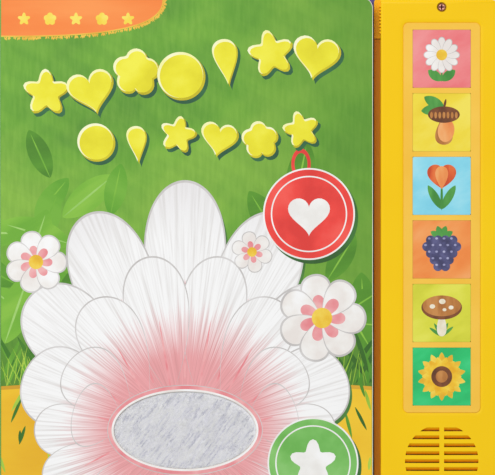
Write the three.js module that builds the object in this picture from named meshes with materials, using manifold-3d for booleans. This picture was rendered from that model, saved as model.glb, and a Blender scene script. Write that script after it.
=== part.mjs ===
// A children's sound book, closed and lying on its back board, front cover up.
// Board leaves are bound at the left, a plastic sound case stands on the back board at the right,
// and six picture keys on the case play the sounds.
// Millimetres. X runs from the spine to the sound case, Y up the page, Z out of the front cover.
// The origin is the middle of the back board's underside.
import * as THREE from "three";
import { mergeVertices } from "three/addons/utils/BufferGeometryUtils.js";
import Module from "manifold-3d";

const wasm = await Module();
wasm.setup();

// Book boards
const bookHeight = 206;
const coverWidth = 149.2;
const boardThickness = 2.4;
const boardCorner = 5;
const boardGap = 0.3;
const spineThickness = 1.2;

// How far a cutting solid runs past the face that it opens
const overrun = 1;

// Leaves
const leafCount = 5;
const leafThickness = 2.1;
const leafGap = 0.25;
const leafSetback = 0.5;
const bindingDepth = 6;

// Touch window in the front cover, an oval with a plush patch in it
const windowWidth = 57;
const windowHeight = 31;
const windowFromSpine = 74;
const windowFromFoot = 32.5;
const windowDepth = 1.3;
const patchThickness = 1.1;
const patchClearance = 0.3;

// Sound case
const caseGap = 0.6;
const caseInset = 1;
const ledgeWidth = 2.5;
const ledgeHeight = 7.6;
const faceWidth = 48.7;
const caseRise = 1.5;
const wall = 1.8;
const plate = 1.8;
const caseFloor = 1.8;
const pageSideFillet = 0.8;
const outerFillet = 3.5;
const endFillet = 2;
const caseCorner = 6;
const ledgeCorner = 1;
const fitGap = 0.3;

// Picture keys and the printed strip round them
const keyCount = 6;
const keyBar = 2.3;
const keyCorner = 0.5;
const keyClearance = 0.3;
const keyLip = 1.7;
const keyEndLip = 0.8;
const keyLipThickness = 0.8;
const plungerRadius = 2.5;
const stripFromHead = 10.6;
const stripFromFoot = 39.6;
const stripEndMargin = 2.8;
const stripSideMargin = 3.75;
const stripCorner = 2;
const stripThickness = 0.4;
const stripClearance = 0.2;
const recessDepth = 0.6;
const recessSlope = 1.5;
const recessSlopeDepth = 0.4;

// Circuit board and the rubber domes on it
const circuitWidth = 31.3;
const circuitThickness = 1.2;
const circuitRise = 9;
const circuitFromHead = 19;
const circuitFromSpeaker = 4.9;
const postRadius = 2;
const postInset = 3.5;
const postFromEnd = 8;
const domeRadius = 4.5;
const domeTopRadius = 3;
const domeShoulder = 0.4;
const domeRim = 0.4;
const domeHeight = 2.9;
const contactGap = 0.1;
const chipRadius = 4.6;
const chipHeight = 1.5;
const chipFromEnd = 19;

// Speaker and its grille
const speakerFromFoot = 20.2;
const speakerRadius = 14.3;
const speakerFlange = 1.2;
const speakerSeatGap = 0.2;
const basketDepth = 3.6;
const basketRearRadius = 9;
const basketSkin = 0.6;
const magnetRadius = 7.2;
const magnetThickness = 3;
const coneRadius = 12.6;
const coneThickness = 0.4;
const coneDepth = 1.6;
const coneRim = 1;
const dustCapRadius = 4;
const seatRingWidth = 1;
const seatRingHeight = 3;
const grilleRadius = 14.7;
const slotRows = 9;
const slotPitch = 3.17;
const slotHeight = 1.6;
const slotThroat = 0.3;
const slotSlopeDepth = 1.5;
const grilleBar = 1.9;

// Battery drawer, which fills the case's head end, with its screw and cells
const drawerLength = 17;
const drawerWall = 1.5;
const drawerFloor = 1.5;
const drawerDip = 2.2;
const gripPitch = 1;
const gripGroove = 0.5;
const gripDepth = 0.35;
const gripMargin = 2;
const gripLift = 1;
const screwFromHead = 4.3;
const screwHoleRadius = 2;
const screwSeatDepth = 1.1;
const screwHeadRadius = 1.6;
const screwHeadHeight = 0.8;
const screwRadius = 0.95;
const screwLength = 8;
const screwBossRadius = 2.7;
const crossWidth = 0.6;
const crossLength = 2.2;
const crossDepth = 0.45;
const cellRadius = 5.8;
const cellThickness = 5.4;
const cellCount = 3;
const cellGap = 0.1;
const cellRimInset = 0.9;
const cellCanShare = 0.8;
const contactThickness = 0.4;
const fingerWidth = 3;
const fingerReach = 6;
const fingerInset = 4.5;
const fingerHole = 0.6;

// Screws that close the case, and the leads inside it
const bossRadius = 2.5;
const bossInset = 3;
const bossFromEnd = 7;
const bossFromDrawer = 6;
const pilotClearance = 0.2;
const pilotFloor = 1;
const caseScrewLength = 9.6;
const leadRadius = 0.5;
const leadSpacing = 7;
const leadEndInset = 4;
const leadSag = 0.4;

// Levels and edges worked out from those sizes
const halfHeight = bookHeight / 2;
const bookWidth = coverWidth + caseGap + ledgeWidth + faceWidth;
const spineX = -bookWidth / 2;
const foreEdgeX = spineX + coverWidth;
const ledgeX = foreEdgeX + caseGap;
const faceX = ledgeX + ledgeWidth;
const outerX = bookWidth / 2;
const centreX = (faceX + outerX) / 2;
const backTop = boardThickness;
const leavesBottom = backTop + boardGap;
const leavesTop = leavesBottom + leafCount * leafThickness + (leafCount - 1) * leafGap;
const coverBottom = leavesTop + boardGap;
const coverTop = coverBottom + boardThickness;
const caseTop = coverTop + caseRise;
const plateBottom = caseTop - plate;
const ledgeTop = backTop + ledgeHeight;
const recessFloor = caseTop - recessDepth;
const caseEnd = halfHeight - caseInset;
const drawerY = halfHeight - drawerLength;
const circuitBottom = circuitRise;
const circuitTop = circuitBottom + circuitThickness;
const keyTop = recessFloor + stripThickness;
const stripTopY = halfHeight - stripFromHead;
const stripFootY = -halfHeight + stripFromFoot;
const keyPitch = (stripTopY - stripFootY - 2 * stripEndMargin + keyBar) / keyCount;
const keySize = keyPitch - keyBar;
const keyY = (row) => stripTopY - stripEndMargin - keySize / 2 - row * keyPitch;
const stripWidth = keySize + 2 * stripSideMargin;
const speakerY = -halfHeight + speakerFromFoot;
const screwY = halfHeight - screwFromHead;

// Solids from three.js geometries
function solid(geometry) {
  const bare = geometry.index ? geometry.toNonIndexed() : geometry.clone();
  bare.deleteAttribute("normal");
  bare.deleteAttribute("uv");
  const merged = mergeVertices(bare, 1e-4);
  return new wasm.Manifold(
    new wasm.Mesh({
      numProp: 3,
      vertProperties: merged.attributes.position.array,
      triVerts: new Uint32Array(merged.index.array),
    }),
  );
}

function geometryOf(body) {
  const { vertProperties, triVerts, numProp, numVert } = body.getMesh();
  const points = new Float32Array(numVert * 3);
  for (let i = 0; i < numVert; i++) {
    points.set(vertProperties.subarray(i * numProp, i * numProp + 3), i * 3);
  }
  const geometry = new THREE.BufferGeometry();
  geometry.setAttribute("position", new THREE.BufferAttribute(points, 3));
  geometry.setIndex(new THREE.BufferAttribute(new Uint32Array(triVerts), 1));
  geometry.computeVertexNormals();
  return geometry;
}

function box(x0, x1, y0, y1, z0, z1) {
  const geometry = new THREE.BoxGeometry(x1 - x0, y1 - y0, z1 - z0);
  return solid(geometry.translate((x0 + x1) / 2, (y0 + y1) / 2, (z0 + z1) / 2));
}

// A post or a hole that stands along Z.
function post(x, y, radius, z0, z1, sides = 16, topRadius = radius) {
  const geometry = new THREE.CylinderGeometry(topRadius, radius, z1 - z0, sides);
  return solid(geometry.rotateX(Math.PI / 2).translate(x, y, (z0 + z1) / 2));
}

// A flat outline extruded along Z.
function slab(outline, z0, z1, curveSegments = 6) {
  const geometry = new THREE.ExtrudeGeometry(outline, {
    depth: z1 - z0,
    bevelEnabled: false,
    curveSegments,
  });
  return solid(geometry.translate(0, 0, z0));
}

// A profile drawn in X and Z, extruded along Y.
function alongY(profile, y0, y1, curveSegments = 5) {
  const geometry = new THREE.ExtrudeGeometry(profile, {
    depth: y1 - y0,
    bevelEnabled: false,
    curveSegments,
  });
  return solid(geometry.rotateX(Math.PI / 2).translate(0, y1, 0));
}

// A profile drawn in Y and Z, extruded along X.
function alongX(profile, x0, x1, curveSegments = 5) {
  const geometry = new THREE.ExtrudeGeometry(profile, {
    depth: x1 - x0,
    bevelEnabled: false,
    curveSegments,
  });
  const turn = new THREE.Matrix4().set(0, 0, 1, x0, 1, 0, 0, 0, 0, 1, 0, 0, 0, 0, 0, 1);
  return solid(geometry.applyMatrix4(turn));
}

// A profile of radius and height turned round an upright axis.
function turned(x, y, profile, sides = 32) {
  const points = profile.map(([radius, z]) => new THREE.Vector2(radius, z));
  const geometry = new THREE.LatheGeometry(points, sides);
  return solid(geometry.rotateX(Math.PI / 2).translate(x, y, 0));
}

// A rectangle whose left and right corners have their own radii; a radius of 0 leaves a square corner.
function roundedOutline(x0, x1, y0, y1, leftRadius, rightRadius = leftRadius) {
  const outline = new THREE.Shape();
  const corner = (x, y, radius, from) => {
    if (radius > 0) outline.absarc(x, y, radius, from, from + Math.PI / 2, false);
    else outline.lineTo(x, y);
  };
  outline.moveTo(x0 + leftRadius, y0);
  outline.lineTo(x1 - rightRadius, y0);
  corner(x1 - rightRadius, y0 + rightRadius, rightRadius, -Math.PI / 2);
  corner(x1 - rightRadius, y1 - rightRadius, rightRadius, 0);
  corner(x0 + leftRadius, y1 - leftRadius, leftRadius, Math.PI / 2);
  corner(x0 + leftRadius, y0 + leftRadius, leftRadius, Math.PI);
  outline.closePath();
  return outline;
}

function ovalOutline(x, y, width, height) {
  return new THREE.Shape().absellipse(x, y, width / 2, height / 2, 0, Math.PI * 2, false, 0);
}

// Materials, one for each finish
const finish = (color, roughness, metalness = 0) =>
  new THREE.MeshStandardMaterial({ color, roughness, metalness });
const coverBoard = finish(0x5fae3e, 0.45);
const backBoard = finish(0x5b4c9e, 0.5);
const leafBoard = finish(0xf3efe6, 0.7);
const spineCard = finish(0x4d9a36, 0.45);
const plush = finish(0xd9dade, 0.95);
const yellowPlastic = finish(0xf5c51c, 0.4);
const printedFilm = finish(0xf0c050, 0.45);
const keyPlastics = [0xf5878c, 0xf7e53c, 0x84d6ec, 0xf99c50, 0xe2e642, 0x2fc97d].map((color) =>
  finish(color, 0.45),
);
const paleRubber = finish(0xc9ccd0, 0.7);
const greenLaminate = finish(0x1f6b3f, 0.5);
const blackResin = finish(0x141414, 0.35);
const steel = finish(0xb9bcc0, 0.35, 1);
const blackMylar = finish(0x2a2a2c, 0.5);
const brassLeaf = finish(0xc9a24a, 0.35, 1);
const copperScrew = finish(0xc07a5a, 0.35, 1);
const redSleeve = finish(0xc02a24, 0.6);
const blackSleeve = finish(0x1c1c1c, 0.6);

const book = new THREE.Group();

function piece(name, body, material) {
  const mesh = new THREE.Mesh(geometryOf(body), material);
  mesh.name = name;
  book.add(mesh);
}

// Back board, which carries the leaves and the sound case
function backCover() {
  const outline = roundedOutline(spineX, outerX, -halfHeight, halfHeight, 0, caseCorner);
  return slab(outline, 0, backTop);
}

// Front cover with the blind window that holds the plush patch
const windowX = spineX + windowFromSpine;
const windowY = -halfHeight + windowFromFoot;

function frontCover() {
  const outline = roundedOutline(spineX, foreEdgeX, -halfHeight, halfHeight, 0, boardCorner);
  const window = ovalOutline(windowX, windowY, windowWidth, windowHeight);
  const cut = slab(window, coverTop - windowDepth, coverTop + overrun, 24);
  return slab(outline, coverBottom, coverTop).subtract(cut);
}

function touchPatch() {
  const width = windowWidth - 2 * patchClearance;
  const height = windowHeight - 2 * patchClearance;
  const floor = coverTop - windowDepth;
  return slab(ovalOutline(windowX, windowY, width, height), floor, floor + patchThickness, 24);
}

// Leaves glued together at the spine, with air between them everywhere else
const leafX = spineX + spineThickness + leafGap;

function pageBlock() {
  const outline = roundedOutline(
    leafX, foreEdgeX - leafSetback, -halfHeight + leafSetback, halfHeight - leafSetback, 0, boardCorner,
  );
  let block = box(
    leafX, leafX + bindingDepth, -halfHeight + leafSetback, halfHeight - leafSetback,
    leavesBottom, leavesTop,
  );
  for (let leaf = 0; leaf < leafCount; leaf++) {
    const z = leavesBottom + leaf * (leafThickness + leafGap);
    block = block.add(slab(outline, z, z + leafThickness));
  }
  return block;
}

// Printed card glued over the bound edge, between the folds of the two covers
function spineStrip() {
  return box(spineX, spineX + spineThickness, -halfHeight, halfHeight, leavesBottom, leavesTop);
}

// The sound case's outline seen from above, from a left edge outwards
function casePlan(leftX, z0, z1) {
  const outline = roundedOutline(leftX, outerX, -caseEnd, caseEnd, ledgeCorner, caseCorner);
  return slab(outline, z0, z1);
}

// The hollow inside a wall, with corners that follow the case's own outer corners
function caseHollow(wallThickness, y0, y1, z0, z1) {
  const outline = roundedOutline(
    faceX + wallThickness, outerX - wallThickness, y0, y1, ledgeCorner, caseCorner - wallThickness,
  );
  return slab(outline, z0, z1);
}

const footBossY = -halfHeight + bossFromEnd;
const headBossY = drawerY - bossFromDrawer;
const bossPlaces = [footBossY, (footBossY + headBossY) / 2, headBossY].flatMap((y) =>
  [faceX + wall + bossInset, outerX - wall - bossInset].map((x) => [x, y]),
);

// Case front: one moulding with filleted edges, key windows, grille, bosses and a tongue over the drawer
function filletedFace() {
  const across = new THREE.Shape();
  across.moveTo(faceX, ledgeTop);
  across.lineTo(outerX, ledgeTop);
  across.absarc(outerX - outerFillet, caseTop - outerFillet, outerFillet, 0, Math.PI / 2, false);
  across.absarc(
    faceX + pageSideFillet, caseTop - pageSideFillet, pageSideFillet, Math.PI / 2, Math.PI, false,
  );
  across.closePath();
  const along = new THREE.Shape();
  along.moveTo(-caseEnd, ledgeTop);
  along.lineTo(caseEnd, ledgeTop);
  along.absarc(caseEnd - endFillet, caseTop - endFillet, endFillet, 0, Math.PI / 2, false);
  along.absarc(-caseEnd + endFillet, caseTop - endFillet, endFillet, Math.PI / 2, Math.PI, false);
  along.closePath();
  return alongY(across, -caseEnd, caseEnd)
    .intersect(alongX(along, faceX, outerX))
    .intersect(casePlan(faceX, ledgeTop, caseTop));
}

// Slots that slope from their head edge down to a narrow throat at their foot edge,
// which then goes straight through the plate
function grilleSlots() {
  const disc = post(centreX, speakerY, grilleRadius, plateBottom - overrun, caseTop + overrun, 48);
  const bar = box(
    centreX - grilleBar / 2, centreX + grilleBar / 2,
    speakerY - grilleRadius, speakerY + grilleRadius, plateBottom - overrun, caseTop + overrun,
  );
  let slots = null;
  for (let row = 0; row < slotRows; row++) {
    const foot = speakerY + (row - (slotRows - 1) / 2) * slotPitch - slotHeight / 2;
    const slope = new THREE.Shape();
    slope.moveTo(foot, plateBottom - overrun);
    slope.lineTo(foot + slotThroat, plateBottom - overrun);
    slope.lineTo(foot + slotThroat, caseTop - slotSlopeDepth);
    slope.lineTo(foot + slotHeight, caseTop);
    slope.lineTo(foot + slotHeight, caseTop + overrun);
    slope.lineTo(foot, caseTop + overrun);
    slope.closePath();
    const slot = alongX(slope, centreX - grilleRadius, centreX + grilleRadius);
    slots = slots ? slots.add(slot) : slot;
  }
  return slots.intersect(disc).subtract(bar);
}

// The shallow recess for the printed strip, with a sloping rim
function stripRecess() {
  const half = stripWidth / 2 + stripClearance;
  const outline = roundedOutline(
    centreX - half, centreX + half, stripFootY - stripClearance, stripTopY + stripClearance,
    stripCorner + stripClearance,
  );
  const slope = new THREE.ExtrudeGeometry(outline, {
    depth: overrun,
    bevelEnabled: true,
    bevelThickness: recessSlopeDepth,
    bevelSize: recessSlope,
    bevelSegments: 1,
    curveSegments: 6,
  });
  return slab(outline, recessFloor, caseTop + overrun).add(solid(slope.translate(0, 0, caseTop)));
}

function caseFront() {
  let body = filletedFace();
  body = body.subtract(caseHollow(wall, -caseEnd + wall, caseEnd, ledgeTop - overrun, plateBottom));
  body = body.subtract(
    box(
      faceX - overrun, outerX + overrun, drawerY, caseEnd + overrun, ledgeTop - overrun, plateBottom,
    ),
  );
  const ringInner = speakerRadius + fitGap;
  const ringFoot = plateBottom - seatRingHeight;
  const ring = post(centreX, speakerY, ringInner + seatRingWidth, ringFoot, plateBottom, 32).subtract(
    post(centreX, speakerY, ringInner, ringFoot - overrun, plateBottom + overrun, 32),
  );
  body = body.add(ring);
  for (const [x, y] of bossPlaces) {
    body = body.add(post(x, y, bossRadius, ledgeTop, plateBottom));
    body = body.subtract(
      post(x, y, screwRadius + pilotClearance, ledgeTop - overrun, plateBottom - pilotFloor, 12),
    );
  }
  for (let row = 0; row < keyCount; row++) {
    const half = keySize / 2 + keyClearance;
    const y = keyY(row);
    body = body.subtract(
      box(centreX - half, centreX + half, y - half, y + half, plateBottom - overrun, caseTop),
    );
  }
  const screwHole = post(centreX, screwY, screwRadius + pilotClearance, plateBottom - overrun, caseTop);
  const screwSeat = post(centreX, screwY, screwHoleRadius, caseTop - screwSeatDepth, caseTop + overrun, 24);
  return body.subtract(stripRecess()).subtract(grilleSlots()).subtract(screwHole).subtract(screwSeat);
}

// Case back: a tray with the ledge that shows beside the leaves, open at its head for the drawer
function caseBack() {
  let body = casePlan(ledgeX, backTop, ledgeTop);
  body = body.subtract(
    box(ledgeX - overrun, outerX + overrun, drawerY, caseEnd + overrun, 0, ledgeTop + overrun),
  );
  const floorZ = backTop + caseFloor;
  body = body.subtract(
    box(ledgeX + wall, centreX, -caseEnd + wall, drawerY - wall, floorZ, ledgeTop - wall),
  );
  body = body.subtract(caseHollow(wall, -caseEnd + wall, drawerY - wall, floorZ, ledgeTop + overrun));
  body = body.subtract(
    box(
      faceX + wall, outerX - wall, drawerY - wall - overrun, drawerY + overrun,
      circuitBottom - fitGap, ledgeTop + overrun,
    ),
  );
  for (const [x, y] of bossPlaces) {
    body = body.add(post(x, y, bossRadius, floorZ, ledgeTop));
    body = body.subtract(post(x, y, screwRadius + pilotClearance, 0, ledgeTop + overrun, 12));
    const headSeat = backTop + screwHeadHeight + fitGap;
    body = body.subtract(post(x, y, screwHeadRadius + pilotClearance, 0, headSeat, 12));
  }
  for (const x of [centreX - circuitWidth / 2 + postInset, centreX + circuitWidth / 2 - postInset]) {
    for (const y of [circuitY0 + postFromEnd, circuitY1 - postFromEnd]) {
      body = body.add(post(x, y, postRadius, floorZ, circuitBottom, 12));
    }
  }
  return body;
}

// Battery drawer: fills the head end of the case under the tongue, with ribbed grips at its sides
const drawerTop = plateBottom - fitGap;
const drawerFoot = drawerY + fitGap;
const drawerBottom = backTop + fitGap;
const drawerFloorTop = drawerBottom + drawerFloor;
const stackLength = cellCount * cellThickness + (cellCount - 1) * cellGap;
const stackRightX = centreX - screwBossRadius - contactThickness - 2 * cellGap;
const stackX = stackRightX - stackLength;
const cellY = caseEnd - drawerWall - cellRadius - fitGap;
const cellZ = drawerFloorTop + cellRadius + cellGap;
const fingerZ = circuitTop + cellGap;
const fingerPlaces = [stackX + fingerInset, stackRightX - fingerInset];

function gripGrooves(x0, x1, z0, z1) {
  let grooves = null;
  for (let y = drawerFoot + gripMargin; y < caseEnd - caseCorner / 2; y += gripPitch) {
    const groove = box(x0, x1, y, y + gripGroove, z0, z1);
    grooves = grooves ? grooves.add(groove) : groove;
  }
  return grooves;
}

function batteryDrawer() {
  let body = casePlan(ledgeX, drawerBottom, ledgeTop).add(casePlan(faceX, ledgeTop, drawerTop));
  body = body.subtract(box(ledgeX - overrun, outerX + overrun, -caseEnd - overrun, drawerFoot, 0, caseTop));
  const insideFoot = drawerFoot + drawerWall;
  const insideHead = caseEnd - drawerWall;
  body = body.subtract(caseHollow(drawerWall, insideFoot, insideHead, drawerFloorTop, caseTop));
  const dipZ = drawerTop - drawerDip;
  body = body.subtract(
    box(faceX + drawerWall, outerX - drawerWall, drawerFoot - overrun, insideFoot + overrun, dipZ, caseTop),
  );
  body = body.add(
    post(centreX, screwY, screwBossRadius, drawerFloorTop, drawerTop, 20).intersect(
      box(faceX, outerX, drawerFoot, caseEnd, drawerBottom, drawerTop),
    ),
  );
  body = body.subtract(
    post(centreX, screwY, screwRadius + pilotClearance, drawerFloorTop + pilotFloor, drawerTop + overrun, 12),
  );
  for (const x of fingerPlaces) {
    const half = fingerWidth / 2 + fingerHole;
    body = body.subtract(
      box(
        x - half, x + half, drawerFoot - overrun, insideFoot + overrun,
        fingerZ - fingerHole, fingerZ + contactThickness + fingerHole,
      ),
    );
  }
  const gripTop = drawerTop + overrun;
  body = body.subtract(gripGrooves(faceX - overrun, faceX + gripDepth, ledgeTop + gripLift, gripTop));
  return body.subtract(
    gripGrooves(outerX - gripDepth, outerX + overrun, drawerBottom - overrun, gripTop),
  );
}

// A pan-head screw, its head down to z0 and its shank up to the tip, or the other way up
function screwBody(x, y, headZ, length, towards, withCross) {
  const [shank0, shank1] = towards > 0 ? [headZ, headZ + length] : [headZ - length, headZ];
  const [head0, head1] = towards > 0 ? [headZ, headZ + screwHeadHeight] : [headZ - screwHeadHeight, headZ];
  let body = post(x, y, screwRadius, shank0, shank1, 10);
  body = body.add(post(x, y, screwHeadRadius, head0, head1, 16));
  if (withCross) {
    const half = crossWidth / 2;
    const reach = crossLength / 2;
    const cutFoot = headZ - crossDepth;
    body = body.subtract(box(x - half, x + half, y - reach, y + reach, cutFoot, headZ + overrun));
    body = body.subtract(box(x - reach, x + reach, y - half, y + half, cutFoot, headZ + overrun));
  }
  return body;
}

// Button cell standing on edge, its axis along X, with the raised cap of its small pole
function buttonCell(index) {
  const x0 = stackX + index * (cellThickness + cellGap);
  const can = new THREE.CylinderGeometry(cellRadius, cellRadius, cellThickness * cellCanShare, 24);
  const capRadius = cellRadius - cellRimInset;
  const cap = new THREE.CylinderGeometry(capRadius, capRadius, cellThickness, 24);
  can.rotateZ(Math.PI / 2).translate(x0 + (cellThickness * cellCanShare) / 2, cellY, cellZ);
  cap.rotateZ(Math.PI / 2).translate(x0 + cellThickness / 2, cellY, cellZ);
  return solid(can).add(solid(cap));
}

// Spring plate at one end of the cells, with a foot that runs along the drawer's inner wall
function cellContact(x0, footX0, footX1) {
  const insideFoot = drawerFoot + drawerWall;
  const upright = box(
    x0, x0 + contactThickness, insideFoot + cellGap, cellY + cellRadius / 2,
    cellZ - cellRadius / 2, cellZ + cellRadius / 2,
  );
  const foot = box(
    footX0, footX1, insideFoot + cellGap, insideFoot + cellGap + contactThickness,
    fingerZ - fingerHole, fingerZ + contactThickness + fingerHole,
  );
  return upright.add(foot);
}

// Finger soldered to the circuit board that reaches through the drawer's wall to a spring plate
function feedFinger(x) {
  return box(
    x - fingerWidth / 2, x + fingerWidth / 2, circuitY1 - fingerReach, drawerFoot + drawerWall,
    fingerZ, fingerZ + contactThickness,
  );
}

// Picture key: a square cap that stands in its window, a lip under the plate and a plunger
function pictureKey(row) {
  const y = keyY(row);
  const half = keySize / 2;
  const lipTop = plateBottom - fitGap;
  const lipFoot = lipTop - keyLipThickness;
  const cap = slab(
    roundedOutline(centreX - half, centreX + half, y - half, y + half, keyCorner), lipTop, keyTop, 3,
  );
  const lip = box(
    centreX - half - keyLip, centreX + half + keyLip, y - half - keyEndLip, y + half + keyEndLip,
    lipFoot, lipTop,
  );
  const plunger = post(centreX, y, plungerRadius, domeTop + contactGap, lipFoot);
  return cap.add(lip).add(plunger);
}

// Printed film round the six keys
function pictureStrip() {
  const outline = roundedOutline(
    centreX - stripWidth / 2, centreX + stripWidth / 2, stripFootY, stripTopY, stripCorner,
  );
  let film = slab(outline, recessFloor, keyTop);
  for (let row = 0; row < keyCount; row++) {
    const half = keySize / 2 + keyClearance;
    const y = keyY(row);
    film = film.subtract(
      slab(
        roundedOutline(centreX - half, centreX + half, y - half, y + half, keyCorner), recessFloor - overrun,
        keyTop + overrun, 3,
      ),
    );
  }
  return film;
}

// Circuit board on its posts
const circuitY1 = halfHeight - circuitFromHead;
const circuitY0 = speakerY + speakerRadius + circuitFromSpeaker;

function circuitBoard() {
  return box(
    centreX - circuitWidth / 2, centreX + circuitWidth / 2, circuitY0, circuitY1,
    circuitBottom, circuitTop,
  );
}

const domeTop = circuitTop + domeHeight;

function rubberDome(row) {
  const shoulder = (circuitTop + domeTop) / 2;
  return turned(centreX, keyY(row), [
    [0, circuitTop],
    [domeRadius, circuitTop],
    [domeRadius, circuitTop + domeRim],
    [domeTopRadius + domeShoulder, shoulder],
    [domeTopRadius, domeTop],
    [0, domeTop],
  ], 16);
}

// Sound chip under a drop of black resin, on the underside of the circuit board
function soundChip() {
  const y = circuitY0 + chipFromEnd;
  return turned(centreX, y, [
    [0, circuitBottom - chipHeight],
    [chipRadius * 0.5, circuitBottom - chipHeight * 0.85],
    [chipRadius * 0.85, circuitBottom - chipHeight * 0.45],
    [chipRadius, circuitBottom],
    [0, circuitBottom],
  ], 20);
}

// Speaker: a steel basket with a magnet behind it and a thin cone in front
const flangeTop = plateBottom - speakerSeatGap;
const flangeFoot = flangeTop - speakerFlange;
const basketFoot = flangeFoot - basketDepth;

function speakerFrame() {
  const inner = basketRearRadius - basketSkin;
  return turned(centreX, speakerY, [
    [0, basketFoot],
    [basketRearRadius, basketFoot],
    [coneRadius + basketSkin, flangeFoot],
    [speakerRadius, flangeFoot],
    [speakerRadius, flangeTop],
    [coneRadius + fitGap, flangeTop],
    [coneRadius + fitGap, flangeFoot + basketSkin],
    [coneRadius, flangeFoot + basketSkin],
    [inner, basketFoot + basketSkin],
    [0, basketFoot + basketSkin],
  ]);
}

function speakerCone() {
  const rim = flangeFoot + basketSkin + cellGap;
  const throat = rim - coneDepth;
  return turned(centreX, speakerY, [
    [0, throat + dustCapRadius * 0.25],
    [dustCapRadius * 0.6, throat + dustCapRadius * 0.18],
    [dustCapRadius, throat],
    [coneRadius - coneRim, rim],
    [coneRadius, rim],
    [coneRadius, rim + coneThickness],
    [coneRadius - coneRim, rim + coneThickness],
    [dustCapRadius, throat + coneThickness],
    [dustCapRadius * 0.6, throat + dustCapRadius * 0.18 + coneThickness],
    [0, throat + dustCapRadius * 0.25 + coneThickness],
  ], 24);
}

function speakerMagnet() {
  return post(centreX, speakerY, magnetRadius, basketFoot - magnetThickness, basketFoot, 24);
}

// Lead from the back of the basket to the underside of the circuit board
function speakerLead(side) {
  const x = centreX + (side * leadSpacing) / 2;
  const startY = speakerY + Math.sqrt(basketRearRadius ** 2 - (leadSpacing / 2) ** 2) + leadRadius;
  const runZ = circuitBottom - leadRadius - fitGap;
  const endY = circuitY0 + leadEndInset;
  const route = new THREE.CatmullRomCurve3([
    new THREE.Vector3(x, startY, basketFoot - leadRadius),
    new THREE.Vector3(x, startY + 0.6, (basketFoot + runZ) / 2 - leadRadius),
    new THREE.Vector3(x + side, (startY + endY) / 2, runZ - leadSag),
    new THREE.Vector3(x + side * 2, (startY + 3 * endY) / 4, runZ),
    new THREE.Vector3(x + side * 2, endY, runZ),
  ]);
  const section = new THREE.Shape().absarc(0, 0, leadRadius, 0, Math.PI * 2, false);
  const geometry = new THREE.ExtrudeGeometry(section, {
    steps: 16,
    extrudePath: route,
    curveSegments: 4,
  });
  return solid(geometry);
}

piece("back_cover", backCover(), backBoard);
piece("front_cover", frontCover(), coverBoard);
piece("touch_patch", touchPatch(), plush);
piece("page_block", pageBlock(), leafBoard);
piece("spine_strip", spineStrip(), spineCard);
piece("case_front", caseFront(), yellowPlastic);
piece("case_back", caseBack(), yellowPlastic);
piece("battery_drawer", batteryDrawer(), yellowPlastic);
const drawerScrewSeat = caseTop - screwSeatDepth + screwHeadHeight;
piece("battery_screw", screwBody(centreX, screwY, drawerScrewSeat, screwLength, -1, true), copperScrew);
for (let index = 0; index < cellCount; index++) {
  piece(`battery_cell_${index + 1}`, buttonCell(index), steel);
}
const leftContactX = stackX - cellGap - contactThickness;
const rightContactX = stackRightX + cellGap;
const [leftFingerX, rightFingerX] = fingerPlaces;
const footHalf = fingerWidth / 2;
piece("cell_contact_plus", cellContact(leftContactX, leftContactX, leftFingerX + footHalf), brassLeaf);
piece(
  "cell_contact_minus",
  cellContact(rightContactX, rightFingerX - footHalf, rightContactX + contactThickness),
  brassLeaf,
);
piece("feed_finger_plus", feedFinger(leftFingerX), brassLeaf);
piece("feed_finger_minus", feedFinger(rightFingerX), brassLeaf);
piece("picture_strip", pictureStrip(), printedFilm);
for (let row = 0; row < keyCount; row++) {
  piece(`picture_key_${row + 1}`, pictureKey(row), keyPlastics[row % keyPlastics.length]);
  piece(`rubber_dome_${row + 1}`, rubberDome(row), paleRubber);
}
piece("circuit_board", circuitBoard(), greenLaminate);
piece("sound_chip", soundChip(), blackResin);
piece("speaker_frame", speakerFrame(), steel);
piece("speaker_magnet", speakerMagnet(), steel);
piece("speaker_cone", speakerCone(), blackMylar);
piece("speaker_lead_red", speakerLead(-1), redSleeve);
piece("speaker_lead_black", speakerLead(1), blackSleeve);
bossPlaces.forEach(([x, y], index) => {
  piece(`case_screw_${index + 1}`, screwBody(x, y, backTop, caseScrewLength, 1, false), steel);
});

export default book;
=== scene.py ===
import math
import random

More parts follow.
